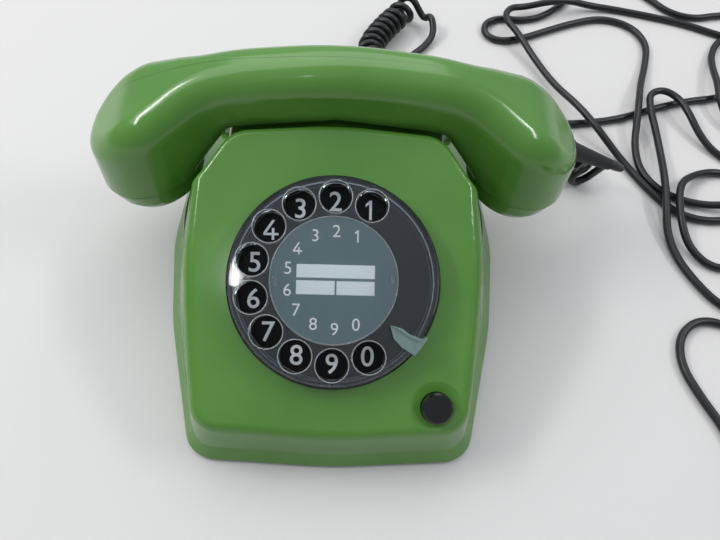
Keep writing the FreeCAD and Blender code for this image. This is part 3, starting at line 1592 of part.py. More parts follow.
# Cords: straight runs joined by tangent arcs
FLOOR = 2.3
HUMP = 9.0
LINE_ROUTE = [
    (51, 121, 9), (62, 123, 4), (77, 120, FLOOR), (95, 116, FLOOR), (115, 115.5, FLOOR),
    (134, 120, FLOOR), (153, 121.5, FLOOR), (176, 126, FLOOR), (198, 135, FLOOR),
    (222, 143, FLOOR), (246, 147, FLOOR), (266, 157, FLOOR), (281, 169, FLOOR), (286, 187, FLOOR),
    (276, 202, FLOOR), (260, 202, FLOOR), (250, 187, FLOOR), (245, 170, 6), (243, 154, HUMP),
    (240.5, 139, HUMP), (243, 125, 6), (252, 114, FLOOR), (253, 100, FLOOR), (241, 93, FLOOR),
    (230, 102, FLOOR), (223, 113, 5), (218, 126, HUMP), (215, 138, HUMP), (206.5, 146, HUMP),
    (196.5, 142.5, HUMP), (194, 131, HUMP), (195.5, 115, 6), (195, 95, 5), (191.5, 76, HUMP),
    (188.5, 57, HUMP), (187, 41, 4), (190, 25, FLOOR), (197, 10, FLOOR), (206, -3, FLOOR),
    (219, -10, FLOOR), (231, -4, FLOOR), (232, 10, FLOOR), (221, 19, FLOOR), (207, 20, FLOOR),
    (197, 32, 4), (194.5, 50, HUMP), (199, 71, HUMP), (210, 81, 5), (226, 87, FLOOR),
    (242, 83, FLOOR), (249, 70, FLOOR), (241, 56, FLOOR), (225, 51, FLOOR), (208, 51, FLOOR),
    (195, 57, FLOOR), (184, 71, FLOOR), (173, 90, FLOOR), (164, 103, 6), (157, 114, HUMP),
    (148, 131, HUMP), (138, 150, 5), (128, 172, 5), (118, 193, HUMP), (110.5, 206, HUMP),
    (115, 218, 8), (127, 221.5, 6), (141, 223.5, HUMP), (157, 226.5, HUMP), (173, 228, 4),
    (190, 227.5, FLOOR), (212, 222.5, FLOOR), (237, 216, FLOOR), (259, 206, FLOOR),
    (275, 200, FLOOR), (289, 206, FLOOR), (290, 220, FLOOR), (278, 227, FLOOR), (262, 225, FLOOR),
    (246, 221, FLOOR), (230, 226, FLOOR), (218, 241, FLOOR), (206, 252, FLOOR), (188, 256, FLOOR),
    (171, 248, FLOOR), (157, 233, FLOOR), (140, 217, FLOOR), (124, 212, FLOOR), (110, 214, FLOOR),
    (99, 209, FLOOR), (97, 198, FLOOR), (106, 191, FLOOR), (121, 194, FLOOR), (140, 203, FLOOR),
    (160, 212, FLOOR), (181, 218, FLOOR), (200, 211, FLOOR), (208, 194, FLOOR), (202, 173, FLOOR),
    (194, 153, 5), (188.5, 137, HUMP), (184, 120, HUMP), (180, 103, 5), (181, 86, FLOOR),
    (189, 72, FLOOR), (203, 64, FLOOR), (219, 60, 4), (235, 60, HUMP), (251, 61, HUMP),
    (266, 53, 4), (273, 36, FLOOR), (267, 15, FLOOR), (253, -5, FLOOR), (234, -18, FLOOR),
    (214, -18, FLOOR), (195, -11.5, FLOOR), (181, -21, FLOOR), (177.5, -38, FLOOR),
    (184, -56, FLOOR), (192, -72, FLOOR),
]
CURL_AXIS = [
    (143, 74, 9), (133, 93, 12), (120, 112, 14.4), (101, 127, 13), (79, 136, 9), (57, 141, 10.5),
    (37, 144, 14.2), (25, 151, 14.2), (19, 163, 11), (21, 177, 9), (29, 191, 9), (38, 203, 9),
    (47, 214, 9),
]
LOOSE_LENGTH = 20.0
CASE_TAIL = [
    (61, 204, 11), (63, 193, 5), (57, 184, FLOOR), (48, 175, FLOOR), (39, 165, FLOOR),
    (33, 152, FLOOR), (29, 139, FLOOR), (25, 127, 5.5), (21, 117, 11),
]
HANDSET_TAIL = [(153.5, 62.5, 33.5), (152.5, 71.5, 26.5)]
PLUG_TAIL = [(199, -124, 4.5), (201, -138, 3), (206, -151, 3), (213, -160, 4.6)]
HANDSET_WIRES = [(95.8, 48, 65), (79, 50, 83), (56, 51.5, 91), (22, 52, 95)]
WIRE_TO_CLAMP = [
    (47, 72, 11), (47.5, 62, 10.4), (54, 50, 8.6), (60, 40, 8.3), (61, 27, 8.3), (58, 16, 9.4),
]
WIRE_FROM_HANDSET = [
    (22.5, 73, 11), (28, 66, 9.5), (38, 59, 8.8), (49, 48, 8.3), (54.5, 37, 8.3), (55, 25, 8.3),
    (52.5, 16, 9.4),
]


def arc_middle(start, way, end):
    """Middle of the arc that leaves start along way and reaches end."""
    chord = end - start
    across = way.cross(chord).cross(way).normalize()
    radius = chord.Length ** 2 / (2 * chord.dot(across))
    centre = start + across * radius
    return centre + ((start + end) / 2 - centre).normalize() * radius


def tangent_arc(start, way, end):
    return Part.Arc(start, arc_middle(start, way, end), end).toShape()


def route_wire(points, label):
    """Straight runs with the largest arcs that their runs allow; prints the radii."""
    points = [Vector(*point) for point in points]
    edges, here, radii, turns = [], points[0], [], []
    for index in range(1, len(points) - 1):
        before = points[index] - points[index - 1]
        after = points[index + 1] - points[index]
        turn = before.getAngle(after)
        if turn < 0.001:
            raise SystemExit("three points in line at %s of %s" % (index, label))
        reach = 0.45 * min(before.Length, after.Length)
        radii.append(reach / math.tan(turn / 2))
        turns.append(math.degrees(turn))
        first = points[index] - before.normalize() * reach
        last = points[index] + after.normalize() * reach
        edges.append(Part.LineSegment(here, first).toShape())
        edges.append(tangent_arc(first, before, last))
        here = last
    edges.append(Part.LineSegment(here, points[-1]).toShape())
    tight = sorted(radii)[:6]
    print(label, "tightest radii", [round(radius, 1) for radius in tight],
          "largest turn", round(max(turns)))
    return Part.Wire(edges)


def tube(wire, radius, label):
    """Round tube along a wire; prints how its volume agrees with its length."""
    start = wire.Edges[0].valueAt(wire.Edges[0].FirstParameter)
    way = wire.Edges[0].tangentAt(wire.Edges[0].FirstParameter)
    ring = Part.Wire(Part.makeCircle(radius, start, way))
    solid = wire.makePipeShell([ring], True, False)
    expected = math.pi * radius ** 2 * wire.Length
    print(label, "length", round(wire.Length), "volume ratio", round(solid.Volume / expected, 4))
    return solid


def least_gap(points, skip, radius):
    """Least gap of a wound tube to itself, between points more than skip apart."""
    window = 5 * skip
    least = 1e9
    for index, point in enumerate(points):
        for other in points[index + skip: index + window]:
            least = min(least, (point - other).Length)
    return least - 2 * radius


def biarcs(points, ways):
    """Edges through points with given directions, two arcs from each to the next."""
    edges = []
    for index in range(len(points) - 1):
        start, end = points[index], points[index + 1]
        first, last = ways[index], ways[index + 1]
        step = end - start
        both = first + last
        spread = 2 * (1 - first.dot(last))
        along = step.dot(both)
        reach = (math.sqrt(along ** 2 + spread * step.dot(step)) - along) / spread
        joint = (start + end + (first - last) * reach) / 2
        edges.append(tangent_arc(start, first, joint))
        middle = arc_middle(end, last * -1, joint)
        edges.append(Part.Arc(joint, middle, end).toShape())
    return edges


def wound_tube(points, ways, radius, label):
    """Unbroken tube through quarter-turn points, with a straight end one diameter long."""
    first, last = points[0] - ways[0] * 2 * radius, points[-1] + ways[-1] * 2 * radius
    edges = [Part.LineSegment(first, points[0]).toShape()]
    edges += biarcs(points, ways)
    edges.append(Part.LineSegment(points[-1], last).toShape())
    wire = Part.Wire(edges)
    samples = wire.discretize(Distance=radius / 2)
    loop = int(12 * radius / (radius / 2))
    print(label, "least gap to itself", round(least_gap(samples, loop, radius), 2))
    return tube(wire, radius, label), (first, ways[0]), (last, ways[-1])


def axis_place(axis, distance):
    """Point and direction at a distance along a wire."""
    edges = axis.OrderedEdges
    for edge in edges:
        if distance <= edge.Length or edge is edges[-1]:
            place = edge.getParameterByLength(min(distance, edge.Length))
            return edge.valueAt(place), edge.tangentAt(place)
        distance -= edge.Length


def axis_bend(axis, distance):
    """Radius of the bend at a distance along a wire."""
    for edge in axis.OrderedEdges:
        if distance <= edge.Length:
            return edge.Curve.Radius if isinstance(edge.Curve, Part.Circle) else 1e6
        distance -= edge.Length
    return 1e6


def make_curly_cord():
    """Curls wound down round an axis, with loosened ones at the far end."""
    axis = route_wire(CURL_AXIS, "axis of the curls")
    loose_from = axis.Length - LOOSE_LENGTH
    distance, quarter = 0.0, 0
    points, ways = [], []
    while distance < axis.Length or quarter % 4 != 0:
        place, along = axis_place(axis, min(distance, axis.Length))
        side = along.cross(Z_AXIS).normalize()
        up = side.cross(along)
        bend = 1 - size("curl_r") / axis_bend(axis, min(distance, axis.Length))
        pitch = max(size("curl_pitch"), (2 * size("curl_wire_r") + size("curl_gap")) / bend)
        share = min(max((distance - loose_from) / size("loose_pitch"), 0.0), 1.0)
        pitch += share * (size("loose_pitch") - size("curl_pitch"))
        angle = -quarter * math.pi / 2
        outward = side * math.cos(angle) + up * math.sin(angle)
        round_way = side * math.sin(angle) - up * math.cos(angle)
        points.append(place + outward * size("curl_r"))
        ways.append((along * (pitch / (2 * math.pi)) + round_way * size("curl_r")).normalize())
        distance += pitch / 4
        quarter += 1
    print("curls", quarter / 4)
    return wound_tube(points, ways, size("curl_wire_r"), "curly cord")


def coil_place(turn):
    """Point of the coiled line cord after a number of turns: in, up a layer, and out."""
    turns, step = size("coil_turns"), size("coil_step")
    outer = size("coil_middle_r") + step * turns / 4
    radius = outer - step * min(turn, turns - turn)
    share = min(max(2 * (turn - turns / 2) + 0.5, 0.0), 1.0)
    rise = step * (1 - math.cos(math.pi * share)) / 2
    angle = math.pi + 2 * math.pi * turn
    return Vector(
        size("cord_coil_x") + radius * math.cos(angle),
        size("cord_coil_y") + radius * math.sin(angle),
        FLOOR + rise,
    )


def make_line_coil():
    points, ways = [], []
    for quarter in range(int(4 * size("coil_turns")) + 1):
        turn, step = quarter / 4, 0.001
        points.append(coil_place(turn))
        ways.append((coil_place(turn + step) - coil_place(turn - step)).normalize())
    return wound_tube(points, ways, size("cord_r"), "coiled line cord")


def make_coil_tie():
    """Clip over all the turns of the coil, open at the bottom."""
    step = size("coil_step")
    reach = step * size("coil_turns") / 4 + size("cord_r")
    middle = size("cord_coil_x") + size("coil_middle_r")
    top = FLOOR + step + size("cord_r")
    gap, wall, width = 2 * size("rest_gap"), size("tie_wall"), size("tie_width")

    def box(grow, low):
        corner = Vector(middle - reach - grow, size("cord_coil_y") - width / 2, low)
        return Part.makeBox(2 * (reach + grow), width, top + grow - low, corner)

    return formed("coil_tie", box(gap + wall, size("tie_low")).cut(box(gap, -wall)))


PLUG_PLACE = Vector(size("plug_x"), size("plug_y"), size("plug_z"))


def make_plug():
    """Plug that lies flat beside the coil, with four blades."""
    length, half, height = size("plug_length"), size("plug_width") / 2, size("plug_height")
    corners = [
        (0, -half / 2, 0), (length / 3, -half, 8), (length, -half, 1.5),
        (length, half, 1.5), (length / 3, half, 8), (0, half / 2, 0),
    ]
    body = prism(corners, lambda a, b: PLUG_PLACE + Vector(a, b, 0), Vector(0, 0, height))
    blades = []
    for row in range(4):
        corner = PLUG_PLACE + Vector(length, (row - 1.5) * half / 2 - 0.5, height / 3)
        blades.append(Part.makeBox(size("cutter") * 0.7, 1, height / 3, corner))
    return formed("plug_body", body), formed("plug_pins", Part.makeCompound(blades))


def gland_tip(frame, boot):
    """Where a cord leaves its gland, and the way that it points."""
    return frame_placement(frame).multVec(Vector(0, 0, size(boot)))


def make_cords():
    radius, thin = size("cord_r"), size("curl_wire_r")
    curls, (curl_start, start_way), (curl_end, end_way) = make_curly_cord()
    coil, (coil_start, in_way), (coil_end, out_way) = make_line_coil()
    tip = gland_tip(LINE_GLAND, "line_boot")
    line = [tip, tip + Vector(0, 6, 0)] + LINE_ROUTE + [coil_start - in_way * 11, coil_start]
    plug = PLUG_PLACE + Vector(0, 0, size("plug_height") / 2)
    tail = [coil_end, coil_end + out_way * 9] + PLUG_TAIL + [plug - X_AXIS * 8, plug]
    root, way = relief_frame()
    relief_tip = root + way * size("relief_length")
    handset = [relief_tip, relief_tip + way * 9] + HANDSET_TAIL
    handset += [curl_start - start_way * 8, curl_start]
    gland = gland_tip(HANDSET_GLAND, "handset_boot")
    case = [curl_end, curl_end + end_way * 6] + CASE_TAIL + [gland + Y_AXIS * 8, gland]
    pieces = [formed("curly_cord", curls), formed("line_cord_coil", coil)]
    for label, points, size_r in (
        ("line_cord", line, radius),
        ("line_cord_end", tail, radius),
        ("curly_cord_handset_end", handset, thin),
        ("curly_cord_case_end", case, thin),
    ):
        pieces.append(formed(label, tube(route_wire(points, label), size_r, label)))
    return pieces


# Wires inside
def make_handset_wires():
    """Lead through the hollow grip from holder to holder."""
    right = frame_placement(MOUTH).multVec(Vector(0, 0, 2))
    left = frame_placement(EAR).multVec(Vector(0, 0, 2))
    points = [Vector(*point) for point in HANDSET_WIRES]
    mirror = [Vector(-point.x, point.y, point.z) for point in reversed(points)]
    wire = route_wire([right] + points + mirror + [left], "handset wires")
    return formed("handset_wires", tube(wire, size("wire_r"), "handset wires"))


def make_inner_wires():
    back = -size("case_wall + gland_flange") - 4 * size("rest_gap")
    ends = []
    for frame in (LINE_GLAND, HANDSET_GLAND):
        ends.append(frame_placement(frame).multVec(Vector(0, 0, back)))
    face_y = size("terminal_y") + 12
    wires = []
    for start, route, x in (
        (ends[0], WIRE_TO_CLAMP, size("terminal_x") + 2.5),
        (ends[1], WIRE_FROM_HANDSET, size("terminal_x") - 2.5),
    ):
        points = [start, start - Y_AXIS * 4] + route + [Vector(x, face_y, size(BASE_TOP) + 4)]
        wires.append(tube(route_wire(points, "inner wire"), size("wire_r"), "inner wire"))
    return formed("inner_wires", Part.makeCompound(wires))


def make_cord_clamp():
    """Block that grips the line cord's lead behind its gland."""
    x, y = "line_gland_x", "clamp_y"
    return block(
        "cord_clamp",
        (x + " - 6", y + " - 3", BASE_TOP),
        (x + " + 6", y + " + 3", "gland_z - 2 * wire_r - 0.9"),
    )


for piece in make_cords():
    node(piece)
node(make_coil_tie())
for piece in make_plug():
    node(piece)
node(make_handset_wires())
node(make_inner_wires())
node(make_cord_clamp())


def check_and_export():
    """Stop on anything failed or broken, then write one file for each piece."""
    doc.recompute()
    broken = [
        piece.Label
        for piece in doc.Objects
        if "Invalid" in piece.State or "Error" in piece.State
    ]
    if broken:
        raise SystemExit("failed: " + ", ".join(broken))
    os.makedirs("parts", exist_ok=True)
    for piece in NODES:
        shape = piece.Shape
        if shape.isNull() or not shape.isValid() or not shape.Solids:
            raise SystemExit("broken shape: " + piece.Label)
        print(piece.Label, len(shape.Solids), "solids", round(shape.Volume), "mm3")
        shape.exportStep(os.path.join("parts", piece.Label + ".step"))


check_and_export()
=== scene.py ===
# %% [markdown]
# # Rotary desk telephone
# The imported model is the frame: every rigid piece is already there, at its real size, in metres,
# with +Z up and the table at zero. This script gives those pieces their finishes, draws what is
# too fine for the solids, lays the two cords, and lights a plain studio round it all.
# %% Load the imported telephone
import json
import math

import bmesh
import bpy
from mathutils import Matrix, Vector


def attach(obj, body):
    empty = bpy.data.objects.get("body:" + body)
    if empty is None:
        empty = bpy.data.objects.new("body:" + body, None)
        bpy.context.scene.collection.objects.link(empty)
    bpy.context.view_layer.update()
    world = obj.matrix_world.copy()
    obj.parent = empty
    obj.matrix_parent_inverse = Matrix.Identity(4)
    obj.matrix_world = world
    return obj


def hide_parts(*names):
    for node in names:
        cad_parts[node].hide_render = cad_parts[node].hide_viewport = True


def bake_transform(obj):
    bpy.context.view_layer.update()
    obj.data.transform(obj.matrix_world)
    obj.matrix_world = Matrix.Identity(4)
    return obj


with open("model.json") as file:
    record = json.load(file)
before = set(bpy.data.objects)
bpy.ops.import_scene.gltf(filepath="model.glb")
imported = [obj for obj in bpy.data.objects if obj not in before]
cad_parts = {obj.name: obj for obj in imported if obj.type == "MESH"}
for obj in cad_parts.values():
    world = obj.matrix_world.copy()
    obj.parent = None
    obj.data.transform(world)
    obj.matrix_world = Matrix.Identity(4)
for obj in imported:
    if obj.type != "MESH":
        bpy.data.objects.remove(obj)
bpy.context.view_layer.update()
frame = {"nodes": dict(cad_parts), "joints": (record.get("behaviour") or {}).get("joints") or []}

NODES = frame["nodes"]
MM = 0.001

# %% [markdown]
# ## The camera
# The photograph was taken from close above the front edge, with a wide lens. Its place comes from
# the dial, whose ten holes form a true circle, and from the outline of the case. The picture is
# 720 by 540 pixels, so the focal length in pixels gives the lens on a 36 mm wide sensor.
# %% Camera
IMAGE_WIDTH = 720
FOCAL_PIXELS = 704
SENSOR = 36.0
CAMERA_PLACE = Vector((-1.3, -175.3, 328.7)) * MM
LOOK_DOWN = math.radians(60)
SWING = math.radians(-4.71)
TILT = math.radians(5.52)
NEAREST_SEEN = 0.01

camera = bpy.data.objects.new("camera", bpy.data.cameras.new("camera"))
camera.data.sensor_width = SENSOR
camera.data.lens = FOCAL_PIXELS / IMAGE_WIDTH * SENSOR
camera.data.clip_start = NEAREST_SEEN
camera.matrix_world = (
    Matrix.Translation(CAMERA_PLACE)
    @ Matrix.Rotation(SWING, 4, "Z")
    @ Matrix.Rotation(math.pi / 2 - LOOK_DOWN, 4, "X")
    @ Matrix.Rotation(TILT, 4, "Z")
)
bpy.context.scene.collection.objects.link(camera)
bpy.context.scene.camera = camera
bpy.context.scene.view_settings.view_transform = "Standard"
print("lens", round(camera.data.lens, 1), "mm")

# %% [markdown]
# ## Colours and nodes
# A finish is built from a few shader nodes. One function adds a node with its settings and links,
# and one turns the hex colour that a painter would name into the linear numbers that a shader
# needs. Every finish starts as a plain surface with a named colour, roughness and reflectivity.
# %% Colour, node and surface
def linear(hex_colour):
    """sRGB hex to a linear RGBA colour."""
    channels = [int(hex_colour[place:place + 2], 16) / 255 for place in (1, 3, 5)]
    return [c / 12.92 if c <= 0.04045 else ((c + 0.055) / 1.055) ** 2.4 for c in channels] + [1.0]


def add(tree, kind, inputs=(), settings=(), **values):
    """Add a node. Settings are its own properties and values its inputs by name. Inputs are pairs:
    a number or another node's output, and the name or index of the input that takes it."""
    made = tree.nodes.new(kind)
    for name, value in settings:
        setattr(made, name, value)
    for name, value in values.items():
        made.inputs[name.replace("_", " ")].default_value = value
    for source, name in inputs:
        if isinstance(source, bpy.types.NodeSocket):
            tree.links.new(source, made.inputs[name])
        else:
            made.inputs[name].default_value = source
    return made


def surface(name, colour, roughness, **values):
    """New material with one shader; returns the material, its tree and the shader."""
    material = bpy.data.materials.new(name)
    material.use_nodes = True
    tree = material.node_tree
    tree.nodes.clear()
    shader = add(
        tree, "ShaderNodeBsdfPrincipled", Base_Color=linear(colour), Roughness=roughness, **values
    )
    add(tree, "ShaderNodeOutputMaterial", [(shader.outputs["BSDF"], "Surface")])
    return material, tree, shader


print("a mid grey in linear numbers is", [round(number, 3) for number in linear("#808080")])

# %% [markdown]
# ## What a pattern does to a surface
# No surface is even. A pattern on the piece's own coordinates, whose features are a real number of
# millimetres apart, varies the colour between two near shades, or the roughness, or raises the
# surface by a few hundredths of a millimetre. That breaks up reflections as real wear does.
# Most values of a noise lie between 0.3 and 0.7, so those two become the ends of each range.
# %% Pattern, tint, roughness and relief
PATTERN_LOW, PATTERN_HIGH = 0.3, 0.7


def pattern(tree, millimetres, kind="ShaderNodeTexNoise", stretch=(1, 1, 1), settings=(), **values):
    """Value of a pattern whose features are that many millimetres apart."""
    place = add(tree, "ShaderNodeTexCoord")
    scaled = add(tree, "ShaderNodeMapping", [(place.outputs["Object"], "Vector")], Scale=stretch)
    made = add(
        tree, kind, [(scaled.outputs["Vector"], "Vector")], settings,
        Scale=1 / (millimetres * MM), **values,
    )
    return made.outputs["Fac"]


def tint(tree, shader, value, first, second, start=PATTERN_LOW, end=PATTERN_HIGH):
    """Let a pattern colour the surface between two near shades."""
    ramp = add(tree, "ShaderNodeValToRGB", [(value, "Fac")])
    for stop, place, colour in zip(ramp.color_ramp.elements, (start, end), (first, second)):
        stop.position = place
        stop.color = linear(colour)
    tree.links.new(ramp.outputs["Color"], shader.inputs["Base Color"])


def roughen(tree, shader, value, low, high):
    """Let a pattern vary the roughness between two numbers."""
    between = add(
        tree, "ShaderNodeMapRange", [(value, "Value")],
        From_Min=PATTERN_LOW, From_Max=PATTERN_HIGH, To_Min=low, To_Max=high,
    )
    tree.links.new(between.outputs["Result"], shader.inputs["Roughness"])


def emboss(tree, shader, value, height_mm):
    """Let a pattern raise the surface, by at most that height."""
    bump = add(tree, "ShaderNodeBump", [(value, "Height")], Strength=1.0, Distance=height_mm * MM)
    tree.links.new(bump.outputs["Normal"], shader.inputs["Normal"])


print("a pattern can vary colour, roughness and height")

# %% [markdown]
# ## Green ABS
# The housing, the handset and its caps are ABS, an injection moulded plastic, coloured through and
# moulded in a polished tool. So it is glossy, with a faint waviness where thick and thin walls
# cooled at different speeds, and a little haze from years of hands. Three patterns of 45, 9 and
# 16 mm give the clouding of its colour, the haze and the waviness.
# %% Green plastic
ABS_GREEN, ABS_SHADE = "#588a37", "#518431"
ABS_ROUGHNESS, ABS_HAZE = 0.1, 0.1


def moulded_abs(name):
    material, tree, shader = surface(name, ABS_GREEN, ABS_ROUGHNESS, IOR=1.54)
    cloud = pattern(tree, 45, Detail=2.0)
    tint(tree, shader, cloud, ABS_SHADE, ABS_GREEN, start=0.35, end=0.65)
    haze = pattern(tree, 9, Detail=6.0, Roughness=0.65)
    roughen(tree, shader, haze, ABS_ROUGHNESS, ABS_ROUGHNESS + ABS_HAZE)
    wave = pattern(tree, 16, Detail=1.0)
    emboss(tree, shader, wave, height_mm=0.05)
    return material


green_abs = moulded_abs("green_abs_polished")
print("made", green_abs.name)

# %% [markdown]
# ## The handset's mould line, in painted shade
# The handset was moulded in a tool of two halves. Where they met, a fine line runs along the top
# of the grip, in a shallow arc across the handset. It is far too thin for the solid, so it is
# worked out from the piece's own coordinates: y, less x squared over twice the bend radius, is the
# same number all along such an arc. As in the photograph, the line shows on the grip's top only,
# plainly on the left half, and on the right half it fades out within 60 mm of the middle.
# The line's dark green is painted shade: the shade in the line's fine groove, painted into the
# colour, and faded out on the right half.
# %% Painted shade along the handset's mould line
LINE_MIDDLE, LINE_WIDTH = 52.3 * MM, 0.25 * MM
LINE_BEND = 0.9
# Dark green of the line: painted shade in its groove.
LINE_SHADE_COLOUR = "#1f3513"
LINE_STRENGTH, LINE_REACH = 0.75, 0.06
TOP_STARTS, TOP_ENDS = 0.076, 0.080
TIMES, OVER, LESS, NEAR = [
    [("operation", name)] for name in ("MULTIPLY", "DIVIDE", "SUBTRACT", "COMPARE")
]


def mould_line_shade(tree):
    """How strongly the line's painted shade darkens each point of the handset."""
    place = add(tree, "ShaderNodeTexCoord")
    x, y, z = add(tree, "ShaderNodeSeparateXYZ", [(place.outputs["Object"], "Vector")]).outputs
    square = add(tree, "ShaderNodeMath", [(x, 0), (x, 1)], TIMES).outputs["Value"]
    arc = add(tree, "ShaderNodeMath", [(square, 0), (2 * LINE_BEND, 1)], OVER).outputs["Value"]
    off = add(tree, "ShaderNodeMath", [(y, 0), (arc, 1)], LESS).outputs["Value"]
    middle_and_reach = [(off, 0), (LINE_MIDDLE, 1), (LINE_WIDTH / 2, 2)]
    on_line = add(tree, "ShaderNodeMath", middle_and_reach, NEAR).outputs["Value"]
    strength = add(
        tree, "ShaderNodeMapRange", [(x, "Value")],
        From_Min=0.0, From_Max=LINE_REACH, To_Min=LINE_STRENGTH, To_Max=0.0,
    ).outputs["Result"]
    on_top = add(
        tree, "ShaderNodeMapRange", [(z, "Value")],
        From_Min=TOP_STARTS, From_Max=TOP_ENDS, To_Min=0.0, To_Max=1.0,
    ).outputs["Result"]
    drawn = add(tree, "ShaderNodeMath", [(on_line, 0), (strength, 1)], TIMES).outputs["Value"]
    return add(tree, "ShaderNodeMath", [(drawn, 0), (on_top, 1)], TIMES).outputs["Value"]


def paint_line_shade(material):
    """Mix the line's dark green, painted shade, into the material's own colour."""
    tree = material.node_tree
    base_colour = tree.nodes["Principled BSDF"].inputs["Base Color"]
    own_colour = base_colour.links[0].from_socket
    mixed = [(mould_line_shade(tree), "Factor"), (own_colour, "A"), (linear(LINE_SHADE_COLOUR), "B")]
    lined = add(tree, "ShaderNodeMix", mixed, [("data_type", "RGBA")])
    tree.links.new(lined.outputs["Result"], base_colour)
    return material


handset_abs = paint_line_shade(moulded_abs("green_abs_handset"))
print("made", handset_abs.name, "with a line", LINE_WIDTH / MM, "mm wide")

# %% [markdown]
# ## The other plastics and rubber
# The ring round the dial and the button are black plastic, polished, and the number plate is the
# same with a satin face, so that its numerals can be read under a lamp. The capacitor's sleeve,
# the plug and the leads are moulded or drawn plastics that shine less. The feet, glands and cords
# are rubber or soft PVC, which scatters more still. Each has a grain, whose features are 1 to 12
# mm apart, that varies the colour and the roughness and raises the surface a little.
# %% Dark plastics and rubber
GRAIN_HAZE = 0.1


def plain_plastic(name, colour, shade, roughness, grain_mm, height_mm=0.02, **values):
    material, tree, shader = surface(name, colour, roughness, IOR=1.5, **values)
    grain = pattern(tree, grain_mm, Detail=4.0)
    tint(tree, shader, grain, shade, colour)
    roughen(tree, shader, grain, roughness, roughness + GRAIN_HAZE)
    emboss(tree, shader, grain, height_mm)
    return material


black_gloss = plain_plastic("black_plastic_polished", "#080909", "#0b0c0c", 0.14, grain_mm=12)
plate_black = plain_plastic(
    "black_plate_satin", "#060707", "#080909", 0.35, grain_mm=3, height_mm=0.01,
    Specular_IOR_Level=0.15,
)
grey_plastic = plain_plastic("grey_polyamide", "#8d8f8c", "#828480", 0.45, grain_mm=3)
plug_plastic = plain_plastic("light_grey_plug_plastic", "#b9b8b0", "#aeada5", 0.38, grain_mm=4)
capacitor_can = plain_plastic("capacitor_sleeve", "#31557a", "#2b4c6e", 0.35, grain_mm=3)
lead_sheath = plain_plastic("inner_lead_sheath", "#7d2f2a", "#6d2824", 0.4, grain_mm=4)
cord_sheath = plain_plastic("black_cord_sheath", "#0b0b0c", "#131315", 0.32, grain_mm=2.5)
black_rubber = plain_plastic(
    "black_rubber", "#161617", "#1d1d1e", 0.55, grain_mm=1.2, height_mm=0.03
)
print("made", [finish.name for finish in (black_gloss, plate_black, cord_sheath, black_rubber)])

# %% [markdown]
# ## Clear acrylic
# The finger wheel and the cover over the card are moulded acrylic, polished as smooth as glass,
# with a refractive index of 1.49; the wheel is slightly smoky. So the shader lets the light
# through and only tints it, and years of dialling show as faint swirls in the gloss.
# %% Wheel and cover
CLEAR_ROUGHNESS, SWIRL_HAZE = 0.02, 0.05


def clear_acrylic(name, colour):
    material, tree, shader = surface(
        name, colour, CLEAR_ROUGHNESS, IOR=1.49, Transmission_Weight=1.0
    )
    swirl = pattern(tree, 6, Detail=5.0, Roughness=0.7)
    roughen(tree, shader, swirl, CLEAR_ROUGHNESS, CLEAR_ROUGHNESS + SWIRL_HAZE)
    return material


smoky_acrylic = clear_acrylic("smoky_acrylic", "#e4ebee")
cover_acrylic = clear_acrylic("clear_acrylic_cover", "#ffffff")
print("made", smoky_acrylic.name, "and", cover_acrylic.name)

# %% [markdown]
# ## Metals
# Zinc plated sheet, bright turned steel, brass, the nickel plated gongs and the satin stamping of
# the finger stop differ in colour and in how their surface was worked. Rolling, brushing and
# turning leave long fine lines, which a stretched noise gives: 0.5 to 2 mm across and twenty times
# as long. Real ones are finer; they are drawn this coarse so that they show.
# %% Metals
LINES_ALONG_Y = (1, 0.05, 1)
LINE_HAZE = 0.15


def worked_metal(name, colour, shade, roughness, line_mm):
    material, tree, shader = surface(name, colour, roughness, Metallic=1.0)
    lines = pattern(tree, line_mm, stretch=LINES_ALONG_Y, Detail=3.0)
    tint(tree, shader, lines, shade, colour)
    roughen(tree, shader, lines, roughness, roughness + LINE_HAZE)
    emboss(tree, shader, lines, height_mm=0.01)
    return material


zinc_sheet = worked_metal("zinc_plated_sheet", "#b9bcb6", "#a9aca5", 0.3, line_mm=1.5)
bright_steel = worked_metal("bright_turned_steel", "#c6c8ca", "#b4b6b8", 0.16, line_mm=0.6)
gong_nickel = worked_metal("nickel_plated_gong", "#cfcbc0", "#beb9ac", 0.12, line_mm=0.8)
cut_brass = worked_metal("cut_brass", "#c8a356", "#b58f45", 0.25, line_mm=0.5)
stop_metal = worked_metal("satin_grey_stop", "#8ea49d", "#869c95", 0.42, line_mm=2.0)
print("made", [finish.name for finish in (zinc_sheet, bright_steel, gong_nickel, cut_brass)])

# %% [markdown]
# ## Card and labels
# The card in the dial is printed paper board, matt and faintly fibrous, and the label fields are
# white paper. Real fibres are much finer than these 0.8 mm; they are drawn this coarse so that
# they show at all.
# %% Paper board
def printed_card(name, colour, shade):
    material, tree, shader = surface(name, colour, 0.7, IOR=1.45)
    fibre = pattern(tree, 0.8, stretch=(1, 0.3, 1), Detail=4.0)
    tint(tree, shader, fibre, shade, colour)
    emboss(tree, shader, fibre, height_mm=0.01)
    return material


dial_paper = printed_card("printed_card_grey_green", "#5f7d81", "#587579")
label_paper = printed_card("white_label_paper", "#f6ffff", "#eefbfd")
print("made", dial_paper.name, "and", label_paper.name)

